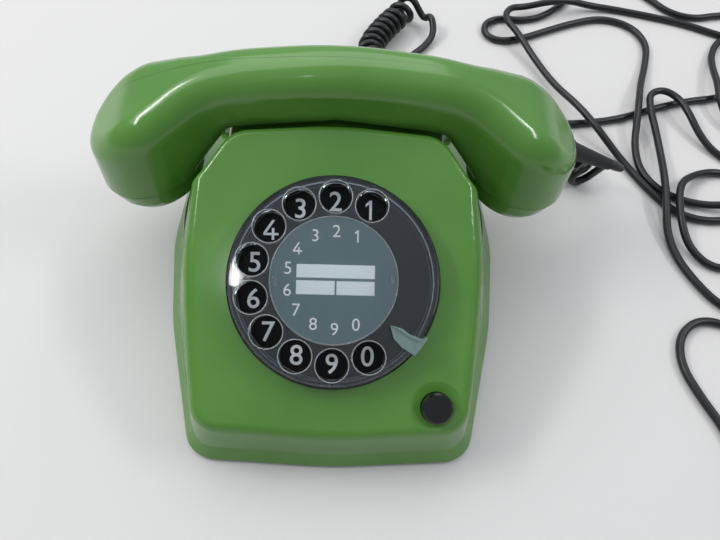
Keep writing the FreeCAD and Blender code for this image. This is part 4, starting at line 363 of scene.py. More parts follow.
# %% [markdown]
# ## Board and windings
# The pieces inside don't show in the photograph, but they have their own finishes, because the
# model can be taken apart. The transformer and the ringer's coils are enamelled wire, laid side by
# side up the bobbin: light crests, dark grooves. A wave pattern along Z draws them. The wave node
# repeats a little over three times within its size, so 0.9 mm gives a turn every 0.28 mm. The real
# wire is thinner; it is drawn this coarse so that its turns show.
# The dark grooves are painted shade between the turns, in a darker colour. The crests keep the
# copper's own colour, and the bump raises them.
# %% Board and windings
def wound_wire(name, colour, groove_shade, wave_mm):
    material, tree, shader = surface(name, colour, 0.3, Metallic=0.7)
    turns = pattern(tree, wave_mm, "ShaderNodeTexWave", settings=[("bands_direction", "Z")])
    # The grooves between the turns take the darker colour: painted shade.
    tint(tree, shader, turns, groove_shade, colour)
    emboss(tree, shader, turns, height_mm=0.1)
    return material


copper_winding = wound_wire("enamelled_copper", "#a4552c", "#5e2a14", wave_mm=0.9)
circuit_board = plain_plastic("glass_epoxy_board", "#6d6a35", "#615e2d", 0.4, grain_mm=2.0)
print("made", copper_winding.name, "and", circuit_board.name)

# %% [markdown]
# ## Dress the imported pieces
# Each imported piece already has a named material slot. The finish goes into that slot, so that the
# piece itself stays as it was packed. Three pieces share a slot with others but look different: the
# cover is clearer than the wheel, the handset has its mould line in painted shade, and the plate is
# satin.
# %% Finish of each slot
FINISHES = {
    "green_plastic": green_abs,
    "black_plastic": black_gloss,
    "clear_acrylic": smoky_acrylic,
    "dial_card": dial_paper,
    "light_metal": stop_metal,
    "sheet_steel": zinc_sheet,
    "bright_steel": bright_steel,
    "gong_metal": gong_nickel,
    "brass": cut_brass,
    "rubber_black": black_rubber,
    "cord_black": cord_sheath,
    "grey_plastic": grey_plastic,
    "plug_plastic": plug_plastic,
    "board": circuit_board,
    "winding": copper_winding,
    "capacitor_can": capacitor_can,
    "lead_sheath": lead_sheath,
}
OTHER_FINISHES = {
    "card_cover": cover_acrylic,
    "handset_shell": handset_abs,
    "number_plate": plate_black,
}
for name, node in NODES.items():
    for slot in node.material_slots:
        slot_name = slot.material.name.split(".")[0]
        slot.material = OTHER_FINISHES.get(name, FINISHES[slot_name])
print("dressed", len(NODES), "packed pieces in", len(FINISHES) + len(OTHER_FINISHES), "finishes")

# %% [markdown]
# ## A frame on the sloping face
# The dial turns about an axis square to the face. That joint's place and direction give a frame
# in which the numerals and labels are drawn flat: across, up the face, and out of it. How high the
# plate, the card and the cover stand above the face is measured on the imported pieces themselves.
# %% Dial frame
dial_joint = next(joint for joint in frame["joints"] if joint["name"] == "dial_turn")
OUT = -Vector(dial_joint["axis"]).normalized()
ACROSS = Vector((1, 0, 0))
UP_FACE = OUT.cross(ACROSS)
FACE = Matrix((ACROSS, UP_FACE, OUT)).transposed().to_4x4()
FACE.translation = Vector(dial_joint["pos_m"])
INTO_FACE = FACE.inverted()


def out_of_face(node):
    """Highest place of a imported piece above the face."""
    return max((INTO_FACE @ vertex.co).z for vertex in NODES[node].data.vertices)


PLATE_TOP = out_of_face("number_plate")
CARD_TOP = out_of_face("dial_card")
COVER_TOP = out_of_face("card_cover")
heights = [round(top / MM, 2) for top in (PLATE_TOP, CARD_TOP, COVER_TOP)]
print("plate, card and cover above the face, mm", heights)

# %% [markdown]
# ## Turning a bmesh into a piece
# New pieces are drawn in a bmesh, in the frame that suits them, and then moved to their place, so
# that the finished object itself sits at the origin, unturned. Doubles are merged and the faces
# made to point outwards before that. Edges sharper than 35 degrees stay sharp.
# %% Piece and gathering
SHARP_FROM = math.radians(35)
DOUBLES_WITHIN = 1e-7


def piece(name, drawn, finish, body, place=Matrix.Identity(4), smooth=True):
    """Object from a bmesh, placed in its mesh and riding on a body."""
    bmesh.ops.remove_doubles(drawn, verts=drawn.verts, dist=DOUBLES_WITHIN)
    bmesh.ops.recalc_face_normals(drawn, faces=drawn.faces)
    drawn.transform(place)
    mesh = bpy.data.meshes.new(name)
    drawn.to_mesh(mesh)
    drawn.free()
    if smooth:
        mesh.shade_smooth()
        mesh.set_sharp_from_angle(angle=SHARP_FROM)
    mesh.materials.append(finish)
    made = bpy.data.objects.new(name, mesh)
    bpy.context.scene.collection.objects.link(made)
    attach(made, body)
    print(name, len(mesh.polygons), "faces, rides on", body)


def gathered(drawn_pieces):
    """One bmesh from several, each moved to its own place."""
    whole = bmesh.new()
    for drawn, where in drawn_pieces:
        bmesh.ops.translate(drawn, verts=drawn.verts, vec=where)
        mesh = bpy.data.meshes.new("share")
        drawn.to_mesh(mesh)
        drawn.free()
        whole.from_mesh(mesh)
        bpy.data.meshes.remove(mesh)
    return whole


print("edges sharper than", round(math.degrees(SHARP_FROM)), "degrees stay sharp")

# %% [markdown]
# ## Drawing print
# Printing ink stands a few hundredths of a millimetre above its ground. A flat shape is one face
# from its corners, extruded upwards. A numeral is a letter of the plain built-in font, made a mesh
# and scaled to its height and thickness, so how deep it is extruded first doesn't matter. The
# font's 1 and 4 differ from a dial's, so those two are drawn as strokes, given here in shares of
# the numeral's height. Each is a hair thicker than the one before, so that no two share a top.
# %% Flat shapes and numerals
PRINT = 0.06 * MM
STROKE_STEP = 0.03
ANY_DEPTH = 0.5
DRAWN_NUMERALS = {
    "1": (
        (
            (0.07, 0.5), (-0.05, 0.5), (-0.25, 0.30), (-0.25, 0.16), (-0.06, 0.32),
            (-0.06, -0.5), (0.07, -0.5),
        ),
    ),
    "4": (
        ((0.02, 0.5), (0.17, 0.5), (-0.25, -0.15), (-0.40, -0.15)),
        ((-0.40, -0.27), (0.36, -0.27), (0.36, -0.15), (-0.40, -0.15)),
        ((0.02, -0.5), (0.15, -0.5), (0.15, 0.10), (0.02, 0.10)),
    ),
}


def flat_shape(corners, thickness):
    """Flat plate from its corners, rising from zero."""
    drawn = bmesh.new()
    drawn.faces.new([drawn.verts.new((x, y, 0)) for x, y in corners])
    raised = bmesh.ops.extrude_face_region(drawn, geom=drawn.faces[:], use_keep_orig=True)
    top = [item for item in raised["geom"] if isinstance(item, bmesh.types.BMVert)]
    bmesh.ops.translate(drawn, verts=top, vec=(0, 0, thickness))
    return drawn


def digit_mesh(text, height, thickness, weight):
    """One numeral of the built-in font as a bmesh, centred, lying flat, of that height."""
    curve = bpy.data.curves.new("numeral", "FONT")
    curve.body = text
    curve.align_x, curve.align_y = "CENTER", "CENTER"
    curve.offset = weight
    curve.extrude = ANY_DEPTH
    letter = bpy.data.objects.new("numeral", curve)
    bpy.context.scene.collection.objects.link(letter)
    bpy.context.view_layer.update()
    mesh = bpy.data.meshes.new_from_object(letter)
    drawn = bmesh.new()
    drawn.from_mesh(mesh)
    bpy.data.meshes.remove(mesh)
    bpy.data.objects.remove(letter)
    low = Vector([min(v.co[axis] for v in drawn.verts) for axis in range(3)])
    high = Vector([max(v.co[axis] for v in drawn.verts) for axis in range(3)])
    bmesh.ops.translate(drawn, verts=drawn.verts, vec=-(low + high) / 2)
    scale = height / (high.y - low.y)
    sizes = (scale, scale, thickness / (high.z - low.z))
    bmesh.ops.scale(drawn, verts=drawn.verts, vec=sizes)
    return drawn


print("drawn as strokes:", list(DRAWN_NUMERALS))

# %% [markdown]
# ## Numerals
# The wheel has fourteen equal divisions, of which ten hold a finger hole: 1 at 64 degrees, then
# anticlockwise to 0. The large numerals are printed on the fixed plate under the wheel, so they
# stay when the wheel turns. The small ones are printed on the card and turn with it; that print
# stands a little off the middle, as in the photograph. The ink is white and matt, with a grain of
# half a millimetre, coarser than a real one, so that it shows.
# %% Numerals on the plate and on the card
DIVISIONS = 14
NUMERALS = "1234567890"
TURN_TO_ONE = math.pi / 2 - 2 * math.pi / DIVISIONS
NUMERAL_RING, NUMERAL_HEIGHT, NUMERAL_WEIGHT = 35.9 * MM, 8.8 * MM, 0.008
CARD_RING, CARD_NUMERAL_HEIGHT, CARD_WEIGHT = 20.8 * MM, 5.2 * MM, 0.0
CARD_SHIFT = Vector((0.7, 0.2, 0)) * MM


def printing_ink():
    material, tree, shader = surface("white_printing_ink", "#ffffff", 0.45, IOR=1.45)
    tint(tree, shader, pattern(tree, 0.5, Detail=3.0), "#f6fbfa", "#ffffff")
    return material


def around_dial(index, ring, level):
    """Place over one of the dial's divisions, counted from the numeral 1."""
    angle = TURN_TO_ONE + index * 2 * math.pi / DIVISIONS
    return Vector((ring * math.cos(angle), ring * math.sin(angle), level))


def numeral_ring(ring, height, weight, level, shift=Vector()):
    """Ten upright numerals round the dial."""
    shapes = []
    for index, text in enumerate(NUMERALS):
        where = around_dial(index, ring, level) + shift
        for earlier, stroke in enumerate(DRAWN_NUMERALS.get(text, ())):
            corners = [(x * height, y * height) for x, y in stroke]
            shapes.append((flat_shape(corners, PRINT * (1 + STROKE_STEP * earlier)), where))
        if text not in DRAWN_NUMERALS:
            raised = where + Vector((0, 0, PRINT / 2))
            shapes.append((digit_mesh(text, height, PRINT, weight), raised))
    return gathered(shapes)


white_ink = printing_ink()
on_plate = numeral_ring(NUMERAL_RING, NUMERAL_HEIGHT, NUMERAL_WEIGHT, PLATE_TOP)
piece("plate_numerals", on_plate, white_ink, "root", FACE, smooth=False)
on_card = numeral_ring(CARD_RING, CARD_NUMERAL_HEIGHT, CARD_WEIGHT, CARD_TOP, CARD_SHIFT)
piece("card_numerals", on_card, white_ink, "dial", FACE, smooth=False)

# %% [markdown]
# ## Label fields
# Three white fields in the middle of the card are for writing one's own number, and they are left
# bare. Each is a thin sheet with square corners, as high as the print. They are given by their
# left, low, right and high edges, in millimetres from the dial's middle.
# %% Label fields on the card
LABELS_MM = ((-15.9, 0.9, 17.3, 6.6), (-15.9, -6.2, 0.4, -0.3), (1.15, -6.2, 17.3, -0.3))


def label_sheets():
    shapes = []
    for left, low, right, high in LABELS_MM:
        corners = ((left, low), (right, low), (right, high), (left, high))
        drawn = flat_shape([(x * MM, y * MM) for x, y in corners], PRINT)
        shapes.append((drawn, Vector((0, 0, CARD_TOP))))
    return gathered(shapes)


piece("card_labels", label_sheets(), label_paper, "dial", FACE, smooth=False)

# %% [markdown]
# ## Painted highlights on the wheel's polished edges
# Polished edges of acrylic catch the light, so each finger hole shows as a bright thin ring, and so
# does the rim of the cover. Those rings are painted highlights: a small circle spun round an axis
# gives such a ring, in a pale acrylic that is only two thirds clear, so that it shows bright, and
# whose gloss varies more.
# %% Painted highlight rims
EDGE_CLEAR, EDGE_SMOOTH, EDGE_HAZY = 0.65, 0.08, 0.3
RIM_RING, RIM_WIRE, RIM_LEVEL = 7.2 * MM, 0.42 * MM, 9.7 * MM
COVER_RING, COVER_WIRE, COVER_DROP = 27.15 * MM, 0.5 * MM, 0.45 * MM
WIRE_SIDES, RIM_STEPS, COVER_STEPS = 8, 48, 96


# Pale acrylic, only two thirds clear, that paints the bright edges as highlights.
def painted_edge_highlight():
    material, tree, shader = surface(
        "painted_highlight_acrylic_edge", "#dfe6e6", EDGE_SMOOTH, IOR=1.49, Transmission_Weight=EDGE_CLEAR
    )
    roughen(tree, shader, pattern(tree, 1.5, Detail=3.0), EDGE_SMOOTH, EDGE_HAZY)
    return material


def round_ring(radius, wire, steps):
    """Thin round ring lying flat round the origin."""
    drawn = bmesh.new()
    section = bmesh.ops.create_circle(drawn, segments=WIRE_SIDES, radius=wire / 2)["verts"]
    bmesh.ops.rotate(drawn, verts=section, matrix=Matrix.Rotation(math.pi / 2, 3, "X"))
    bmesh.ops.translate(drawn, verts=section, vec=(radius, 0, 0))
    bmesh.ops.spin(
        drawn, geom=drawn.verts[:] + drawn.edges[:], cent=(0, 0, 0), axis=(0, 0, 1), dvec=(0, 0, 0),
        angle=2 * math.pi, steps=steps, use_merge=True,
    )
    return drawn


highlight_acrylic = painted_edge_highlight()
# Rings in that acrylic: painted highlights on each hole's edge and on the cover's rim.
rims = [
    (round_ring(RIM_RING, RIM_WIRE, RIM_STEPS), around_dial(index, NUMERAL_RING, RIM_LEVEL))
    for index in range(len(NUMERALS))
]
piece("finger_rim_highlights", gathered(rims), highlight_acrylic, "dial", FACE)
cover_rim = round_ring(COVER_RING, COVER_WIRE, COVER_STEPS)
on_cover = [(cover_rim, Vector((0, 0, COVER_TOP - COVER_DROP)))]
piece("cover_rim_highlight", gathered(on_cover), highlight_acrylic, "dial", FACE)

# %% [markdown]
# ## Clips and pips
# Two little clips hold the cover down at its left and right. Each is a cube, scaled to a tab and
# bevelled, because the real ones are moulded with soft edges. Four pips, small round dots in the
# wheel, stand beside the last hole; a coarse sphere is enough for each.
# %% Clips of the cover, pips of the wheel
CLIPS_MM = ((-24.6, -1.0), (24.8, 1.2))
CLIP_SIZE, CLIP_EDGE = Vector((2.4, 4.6, 0.7)) * MM, 0.3 * MM
PIPS_MM = ((9.35, -28.7), (8.65, -30.4), (8.15, -31.9), (8.15, -33.2))
PIP_RADIUS, PIP_DROP = 0.35 * MM, 0.5 * MM


def clip():
    """Little rounded tab."""
    drawn = bmesh.new()
    bmesh.ops.create_cube(drawn, size=1)
    bmesh.ops.scale(drawn, verts=drawn.verts, vec=CLIP_SIZE)
    bmesh.ops.bevel(
        drawn, geom=drawn.edges[:], offset=CLIP_EDGE, offset_type="OFFSET", affect="EDGES",
        segments=2, profile=0.5, material=-1,
    )
    return drawn


def pip():
    """Small round dot."""
    drawn = bmesh.new()
    bmesh.ops.create_icosphere(drawn, subdivisions=2, radius=PIP_RADIUS)
    return drawn


clips = [(clip(), Vector((x * MM, y * MM, COVER_TOP))) for x, y in CLIPS_MM]
piece("cover_clips", gathered(clips), cover_acrylic, "dial", FACE)
# The pips are small dots in the pale highlight acrylic, so their lightness is painted highlight.
pips = [(pip(), Vector((x * MM, y * MM, RIM_LEVEL - PIP_DROP))) for x, y in PIPS_MM]
piece("wheel_pips", gathered(pips), highlight_acrylic, "dial", FACE)

# %% [markdown]
# ## The line cord
# A soft round cord, 4.4 mm thick and 3.24 m long. It leaves its rubber gland at the back, wanders
# in loose loops over the table at the right, as in the photograph, and ends at its plug. Its
# control points were chosen by hand. Their third number is the height of the cord's middle: on the
# floor, at a hump where the cord crosses over itself, or on the way from one to the other.
# %% Route of the line cord
CORD_RADIUS = 2.2 * MM
FLOOR = 0.0023
HUMP = 0.009
LINE_TIP = Vector((0.047, 0.1089, 0.0125))
LINE_ROUTE = [
    (0.051, 0.121, 0.009), (0.062, 0.123, 0.004), (0.077, 0.120, FLOOR), (0.095, 0.116, FLOOR),
    (0.115, 0.1155, FLOOR), (0.134, 0.120, FLOOR), (0.153, 0.1215, FLOOR), (0.176, 0.126, FLOOR),
    (0.198, 0.135, FLOOR), (0.222, 0.143, FLOOR), (0.246, 0.147, FLOOR), (0.266, 0.157, FLOOR),
    (0.281, 0.169, FLOOR), (0.286, 0.187, FLOOR), (0.276, 0.202, FLOOR), (0.260, 0.202, FLOOR),
    (0.250, 0.187, FLOOR), (0.245, 0.170, 0.006), (0.243, 0.154, HUMP), (0.2405, 0.139, HUMP),
    (0.243, 0.125, 0.006), (0.252, 0.114, FLOOR), (0.253, 0.100, FLOOR), (0.241, 0.093, FLOOR),
    (0.230, 0.102, FLOOR), (0.223, 0.113, 0.005), (0.218, 0.126, HUMP), (0.215, 0.138, HUMP),
    (0.2065, 0.146, HUMP), (0.1965, 0.1425, HUMP), (0.194, 0.131, HUMP), (0.1955, 0.115, 0.006),
    (0.195, 0.095, 0.005), (0.1915, 0.076, HUMP), (0.1885, 0.057, HUMP), (0.187, 0.041, 0.004),
    (0.190, 0.025, FLOOR), (0.197, 0.010, FLOOR), (0.206, -0.003, FLOOR), (0.219, -0.010, FLOOR),
    (0.231, -0.004, FLOOR), (0.232, 0.010, FLOOR), (0.221, 0.019, FLOOR), (0.207, 0.020, FLOOR),
    (0.197, 0.032, 0.004), (0.1945, 0.050, HUMP), (0.199, 0.071, HUMP), (0.210, 0.081, 0.005),
    (0.226, 0.087, FLOOR), (0.242, 0.083, FLOOR), (0.249, 0.070, FLOOR), (0.241, 0.056, FLOOR),
    (0.225, 0.051, FLOOR), (0.208, 0.051, FLOOR), (0.195, 0.057, FLOOR), (0.184, 0.071, FLOOR),
    (0.173, 0.090, FLOOR), (0.164, 0.103, 0.006), (0.157, 0.114, HUMP), (0.148, 0.131, HUMP),
    (0.138, 0.150, 0.005), (0.128, 0.172, 0.005), (0.118, 0.193, HUMP), (0.1105, 0.206, HUMP),
    (0.115, 0.218, 0.008), (0.127, 0.2215, 0.006), (0.141, 0.2235, HUMP), (0.157, 0.2265, HUMP),
    (0.173, 0.228, 0.004), (0.190, 0.2275, FLOOR), (0.212, 0.2225, FLOOR), (0.237, 0.216, FLOOR),
    (0.259, 0.206, FLOOR), (0.275, 0.200, FLOOR), (0.289, 0.206, FLOOR), (0.290, 0.220, FLOOR),
    (0.278, 0.227, FLOOR), (0.262, 0.225, FLOOR), (0.246, 0.221, FLOOR), (0.230, 0.226, FLOOR),
    (0.218, 0.241, FLOOR), (0.206, 0.252, FLOOR), (0.188, 0.256, FLOOR), (0.171, 0.248, FLOOR),
    (0.157, 0.233, FLOOR), (0.140, 0.217, FLOOR), (0.124, 0.212, FLOOR), (0.110, 0.214, FLOOR),
    (0.099, 0.209, FLOOR), (0.097, 0.198, FLOOR), (0.106, 0.191, FLOOR), (0.121, 0.194, FLOOR),
    (0.140, 0.203, FLOOR), (0.160, 0.212, FLOOR), (0.181, 0.218, FLOOR), (0.200, 0.211, FLOOR),
    (0.208, 0.194, FLOOR), (0.202, 0.173, FLOOR), (0.194, 0.153, 0.005), (0.1885, 0.137, HUMP),
    (0.184, 0.120, HUMP), (0.180, 0.103, 0.005), (0.181, 0.086, FLOOR), (0.189, 0.072, FLOOR),
    (0.203, 0.064, FLOOR), (0.219, 0.060, 0.004), (0.235, 0.060, HUMP), (0.251, 0.061, HUMP),
    (0.266, 0.053, 0.004), (0.273, 0.036, FLOOR), (0.267, 0.015, FLOOR), (0.253, -0.005, FLOOR),
    (0.234, -0.018, FLOOR), (0.214, -0.018, FLOOR), (0.195, -0.0115, FLOOR), (0.181, -0.021, FLOOR),
    (0.1775, -0.038, FLOOR), (0.184, -0.056, FLOOR), (0.192, -0.072, FLOOR),
]
PLUG_TAIL = [
    (0.199, -0.124, 0.0045), (0.201, -0.138, 0.003), (0.206, -0.151, 0.003), (0.213, -0.160, 0.0046),
]
PLUG = Vector((0.231, -0.163, 0.0063))
print("chosen by hand:", len(LINE_ROUTE) + len(PLUG_TAIL), "points of the line cord")

# %% [markdown]
# ## The put-away coil
# The length that the photograph doesn't show lies in a neat tied coil beside the telephone. It is
# a stretch of the same spline, and a formula gives its control points: seven turns that wind
# inwards, climb one layer in the half turn at their middle, and wind outwards again on top. A
# spline cuts inside its control points, so they stand a little outside the coil's radius.
# %% Coil and whole line cord
COIL_TURNS, COIL_STEP, COIL_RADIUS = 7, 0.0049, 0.025
COIL_PLACE = Vector((0.232, -0.100, FLOOR))
POINTS_A_TURN = 16
ALONG_Y = Vector((0, 1, 0))
GLAND_RUN, COIL_ENTRY, COIL_EXIT, PLUG_RUN = 0.006, 0.011, 0.009, 0.008


def coil_point(turn):
    """Point of the coil after a number of turns: in, up a layer, and out again."""
    radius = COIL_RADIUS + COIL_STEP * COIL_TURNS / 4 - COIL_STEP * min(turn, COIL_TURNS - turn)
    share = min(max(2 * (turn - COIL_TURNS / 2) + 0.5, 0.0), 1.0)
    angle = math.pi + 2 * math.pi * turn
    rise = COIL_STEP * (1 - math.cos(math.pi * share)) / 2
    outside = radius / math.cos(math.pi / POINTS_A_TURN)
    return COIL_PLACE + Vector((outside * math.cos(angle), outside * math.sin(angle), rise))


def vectors(points):
    return [Vector(point) for point in points]


coil_points = [coil_point(step / POINTS_A_TURN) for step in range(COIL_TURNS * POINTS_A_TURN + 1)]
into_coil = (coil_points[1] - coil_points[0]).normalized()
out_of_coil = (coil_points[-1] - coil_points[-2]).normalized()
line_points = [
    LINE_TIP,
    LINE_TIP + ALONG_Y * GLAND_RUN,
    *vectors(LINE_ROUTE),
    coil_points[0] - into_coil * COIL_ENTRY,
    *coil_points,
    coil_points[-1] + out_of_coil * COIL_EXIT,
    *vectors(PLUG_TAIL),
    PLUG - ACROSS * PLUG_RUN,
    PLUG,
]
print("line cord control points", len(line_points))

# %% [markdown]
# ## Smooth cords from their points
# A soft cord bends in smooth curves, so it is one spline through its route, with a round section.
# The spline can also be read back as a line of points, which gives the cord's true length, and
# the line that the curls of the other cord follow. Along such a line, a function finds the point
# at a distance, with its direction and how tightly the line bends there.
# %% Spline, its line, and a place along it
SECTION_STEPS, SPLINE_STEPS = 4, 6
BEND_STEPS, LEAST_TURN = 1.5, 1e-6


def spline_curve(name, points, radius):
    """Curve object of one smooth open spline through a route's control points."""
    curve = bpy.data.curves.new(name, "CURVE")
    curve.dimensions = "3D"
    curve.bevel_depth = radius
    curve.bevel_resolution = SECTION_STEPS
    curve.use_fill_caps = True
    spline = curve.splines.new("NURBS")
    spline.points.add(len(points) - 1)
    for control, point in zip(spline.points, points):
        control.co = (*point, 1)
    spline.order_u = 3
    spline.use_endpoint_u = True
    spline.resolution_u = SPLINE_STEPS
    made = bpy.data.objects.new(name, curve)
    bpy.context.scene.collection.objects.link(made)
    return made


def read_line(points):
    """Points read from the smooth spline of some control points."""
    reading = spline_curve("reading", points, 0)
    bpy.context.view_layer.update()
    mesh = bpy.data.meshes.new_from_object(reading)
    places = [vertex.co.copy() for vertex in mesh.vertices]
    bpy.data.objects.remove(reading)
    bpy.data.meshes.remove(mesh)
    return places


def length_of(line):
    return sum((end - start).length for start, end in zip(line, line[1:]))


def place_along(line, distance):
    """Point, direction and bend radius at a distance along a line of points."""
    last = len(line) - 1
    for index in range(1, len(line)):
        step = line[index] - line[index - 1]
        if distance <= step.length or index == last:
            break
        distance -= step.length
    before = line[index - 1] - line[max(index - 2, 0)]
    after = line[min(index + 1, last)] - line[index]
    turn = (before.angle(after) if before.length and after.length else 0.0) + LEAST_TURN
    along = step.normalized()
    return line[index - 1] + along * distance, along, BEND_STEPS * step.length / turn


line_path = read_line(line_points)
print("line cord length", round(length_of(line_path), 3), "m")

# %% [markdown]
# ## The curly cord
# The handset's cord is 4.4 mm wire wound in 37 curls, 17 mm across. It leaves the strain relief at
# the right cup, drops to the table, winds behind the telephone and comes back to its gland. The
# photograph shows a few of its curls. A listed axis and two plain tails give its route.
# %% Route of the curly cord
CURL_AXIS = [
    (0.143, 0.074, 0.009), (0.133, 0.093, 0.012), (0.120, 0.112, 0.0144), (0.101, 0.127, 0.013),
    (0.079, 0.136, 0.009), (0.057, 0.141, 0.0105), (0.037, 0.144, 0.0142), (0.025, 0.151, 0.0142),
    (0.019, 0.163, 0.011), (0.021, 0.177, 0.009), (0.029, 0.191, 0.009), (0.038, 0.203, 0.009),
    (0.047, 0.214, 0.009),
]
HANDSET_TAIL = [(0.1535, 0.0625, 0.0335), (0.1525, 0.0715, 0.0265)]
CASE_TAIL = [
    (0.061, 0.204, 0.011), (0.063, 0.193, 0.005), (0.057, 0.184, FLOOR), (0.048, 0.175, FLOOR),
    (0.039, 0.165, FLOOR), (0.033, 0.152, FLOOR), (0.029, 0.139, FLOOR), (0.025, 0.127, 0.0055),
    (0.021, 0.117, 0.011),
]
RELIEF_ROOT = Vector((0.1164, 0.0535, 0.058))
RELIEF_WAY = Vector((0.87, 0.10, -0.49)).normalized()
RELIEF_LENGTH = 0.030
relief_tip = RELIEF_ROOT + RELIEF_WAY * RELIEF_LENGTH
CASE_GLAND = Vector((0.020, 0.1009, 0.0125))
axis_line = read_line(CURL_AXIS)
print("axis of the curls", round(length_of(axis_line) / MM), "mm")

# %% [markdown]
# ## Its curls
# A curl could be one ring after another, but real wire runs on, so the curls are one long helix.
# Each control point is set out from the axis, a twelfth of a turn further round and a little
# further along. Where the axis bends, the curls crowd on its inside, so their spacing grows until
# the wire clears itself there. The last 20 mm have loosened, as they do where a cord is pulled.
# %% Curls and whole curly cord
CURL_RADIUS, CURL_PITCH = 6.3 * MM, 5.3 * MM
LOOSE_PITCH, LOOSE_LENGTH = 10 * MM, 20 * MM
WIRE_RADIUS, CURL_GAP = 2.2 * MM, 0.7 * MM
CURL_POINTS = 12
TIGHTEST_BEND, LEAST_ROOM = 0.02, 0.3
RELIEF_RUN, CURL_RUN, CASE_RUN = 0.009, 0.010, 0.008


def curl_points(axis):
    """Control points of the curls, worked out along their axis."""
    length = length_of(axis)
    outside = CURL_RADIUS / math.cos(math.pi / CURL_POINTS)
    points, distance, step = [], 0.0, 0
    while distance < length or step % CURL_POINTS:
        place, along, bend = place_along(axis, min(distance, length))
        side = along.cross(Vector((0, 0, 1))).normalized()
        up = side.cross(along)
        angle = -2 * math.pi * step / CURL_POINTS
        points.append(place + (side * math.cos(angle) + up * math.sin(angle)) * outside)
        room = max(LEAST_ROOM, 1 - CURL_RADIUS / max(bend, TIGHTEST_BEND))
        pitch = max(CURL_PITCH, (2 * WIRE_RADIUS + CURL_GAP) / room)
        share = min(max((distance - (length - LOOSE_LENGTH)) / LOOSE_PITCH, 0.0), 1.0)
        distance += (pitch + share * (LOOSE_PITCH - CURL_PITCH)) / CURL_POINTS
        step += 1
    print("curls", round(step / CURL_POINTS, 1))
    return points


curls = curl_points(axis_line)
into_curls = (curls[1] - curls[0]).normalized()
out_of_curls = (curls[-1] - curls[-2]).normalized()
curly_points = [
    relief_tip,
    relief_tip + RELIEF_WAY * RELIEF_RUN,
    *vectors(HANDSET_TAIL),
    curls[0] - into_curls * CURL_RUN,
    *curls,
    curls[-1] + out_of_curls * CURL_RUN,
    *vectors(CASE_TAIL),
    CASE_GLAND + ALONG_Y * CASE_RUN,
    CASE_GLAND,
]
curly_path = read_line(curly_points)
print("curly cord control points", len(curly_points))
print("curly cord length", round(length_of(curly_path), 3), "m")

# %% [markdown]
# ## Lay the line cord
# The line cord stays a curve, because nothing about it moves. It takes the place of the packed
# solids that stood for it.
# %% Line cord
line_cord = spline_curve("line_cord_whole", line_points, CORD_RADIUS)
line_cord.data.materials.append(cord_sheath)
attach(line_cord, "root")
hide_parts("line_cord", "line_cord_coil", "line_cord_end")
print("laid", line_cord.name)

curly_curve = spline_curve("curly_cord_curve", curly_points, WIRE_RADIUS)
bpy.context.view_layer.update()
curly_mesh = bpy.data.meshes.new_from_object(curly_curve)
bpy.data.objects.remove(curly_curve)
curly_mesh.materials.clear()
curly_mesh.materials.append(cord_sheath)
curly_mesh.shade_smooth()
curly_cord = bpy.data.objects.new("curly_cord_whole", curly_mesh)
bpy.context.scene.collection.objects.link(curly_cord)
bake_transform(curly_cord)
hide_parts("curly_cord", "curly_cord_handset_end", "curly_cord_case_end")
print("laid", curly_cord.name, len(curly_mesh.polygons), "faces")

# %% [markdown]
# ## The room's light
# The world is a soft dome, brighter overhead and behind the telephone than in front of it, as in a
# room whose window is behind the table. The world's shader compares each direction with the
# brightest one, and the dome is dim up to 0.2 and brightest at 1. A plain white dome would lie
# over the glossy green like a veil.
# %% World
DOME_TOP = Vector((0, 0.5, 0.87))
DOME_START, DOME_END = 0.2, 1.0
DOME_DIM, DOME_BRIGHT = 0.36, 0.85
DOME_COLOUR = "#ecf3ff"

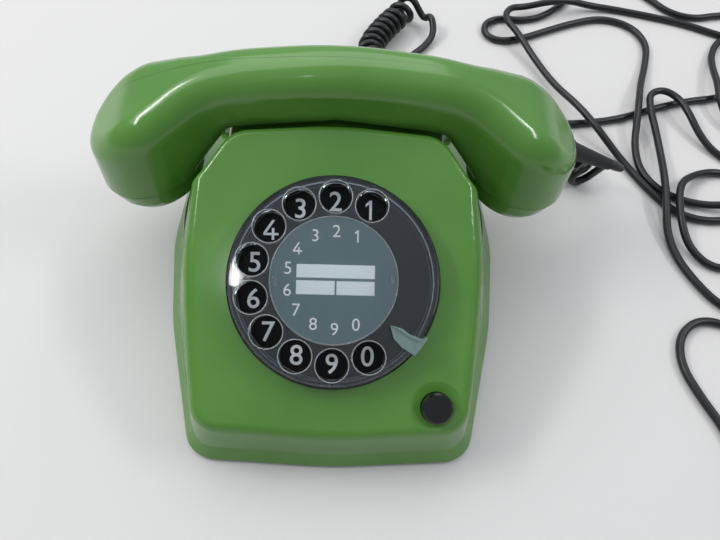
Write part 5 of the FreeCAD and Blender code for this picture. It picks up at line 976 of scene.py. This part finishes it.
world = bpy.data.worlds.new("studio")
bpy.context.scene.world = world
world.use_nodes = True
sky_tree = world.node_tree
sky_tree.nodes.clear()
direction = add(sky_tree, "ShaderNodeTexCoord")
towards_top = add(
    sky_tree, "ShaderNodeVectorMath", [(direction.outputs["Generated"], 0), (DOME_TOP, 1)],
    [("operation", "DOT_PRODUCT")],
)
glow = add(
    sky_tree, "ShaderNodeMapRange", [(towards_top.outputs["Value"], "Value")],
    From_Min=DOME_START, From_Max=DOME_END, To_Min=DOME_DIM, To_Max=DOME_BRIGHT,
)
sky = add(
    sky_tree, "ShaderNodeBackground", [(glow.outputs["Result"], "Strength")],
    Color=linear(DOME_COLOUR),
)
add(sky_tree, "ShaderNodeOutputWorld", [(sky.outputs["Background"], "Surface")])
print("dome from", DOME_DIM, "to", DOME_BRIGHT)

# %% [markdown]
# ## The floor
# A pale plain floor takes the shadow. It is so large that its edge is far away in every view.
# %% Floor
FLOOR_HALF = 20.0

floor_grid = bmesh.new()
bmesh.ops.create_grid(floor_grid, x_segments=1, y_segments=1, size=FLOOR_HALF)
floor_mesh = bpy.data.meshes.new("floor")
floor_grid.to_mesh(floor_mesh)
floor_grid.free()
floor_mesh.materials.append(surface("pale_floor", "#d9d6d2", 0.8)[0])
floor = bpy.data.objects.new("floor", floor_mesh)
bpy.context.scene.collection.objects.link(floor)
print("floor", 2 * FLOOR_HALF, "m wide")

# %% [markdown]
# ## The lamps
# A wide soft lamp stands in for the window, one strip at each side gives the long highlights on
# the handset and on the housing's edges, and a very small weak one is the glint in the finger
# wheel. Each has its place, the point that it is aimed at, its width, depth and power in watts.
# %% Lamps
MIDDLE = (0, 0, 0.05)
WHEEL_EDGE = (-0.04, -0.03, 0.07)
LAMPS = {
    "window": ((-0.35, 0.66, 1.05), MIDDLE, 2.4, 0.8, 9),
    "left": ((-0.90, 0.16, 0.95), MIDDLE, 0.60, 0.12, 4.4),
    "right": ((0.93, 0.10, 0.95), MIDDLE, 0.50, 0.10, 3.0),
    "glint": ((-0.20, -0.474, 1.17), WHEEL_EDGE, 0.028, 0.06, 0.12),
}


def lamp(name, place, target, width, depth, power):
    """Soft rectangular lamp aimed at a point."""
    light = bpy.data.lights.new(name, "AREA")
    light.shape = "RECTANGLE"
    light.size, light.size_y = width, depth
    light.energy = power
    made = bpy.data.objects.new(name, light)
    made.location = place
    made.rotation_mode = "QUATERNION"
    made.rotation_quaternion = (Vector(target) - Vector(place)).to_track_quat("-Z", "Y")
    bpy.context.scene.collection.objects.link(made)


for name, values in LAMPS.items():
    lamp(name, *values)
print("lamps", list(LAMPS))
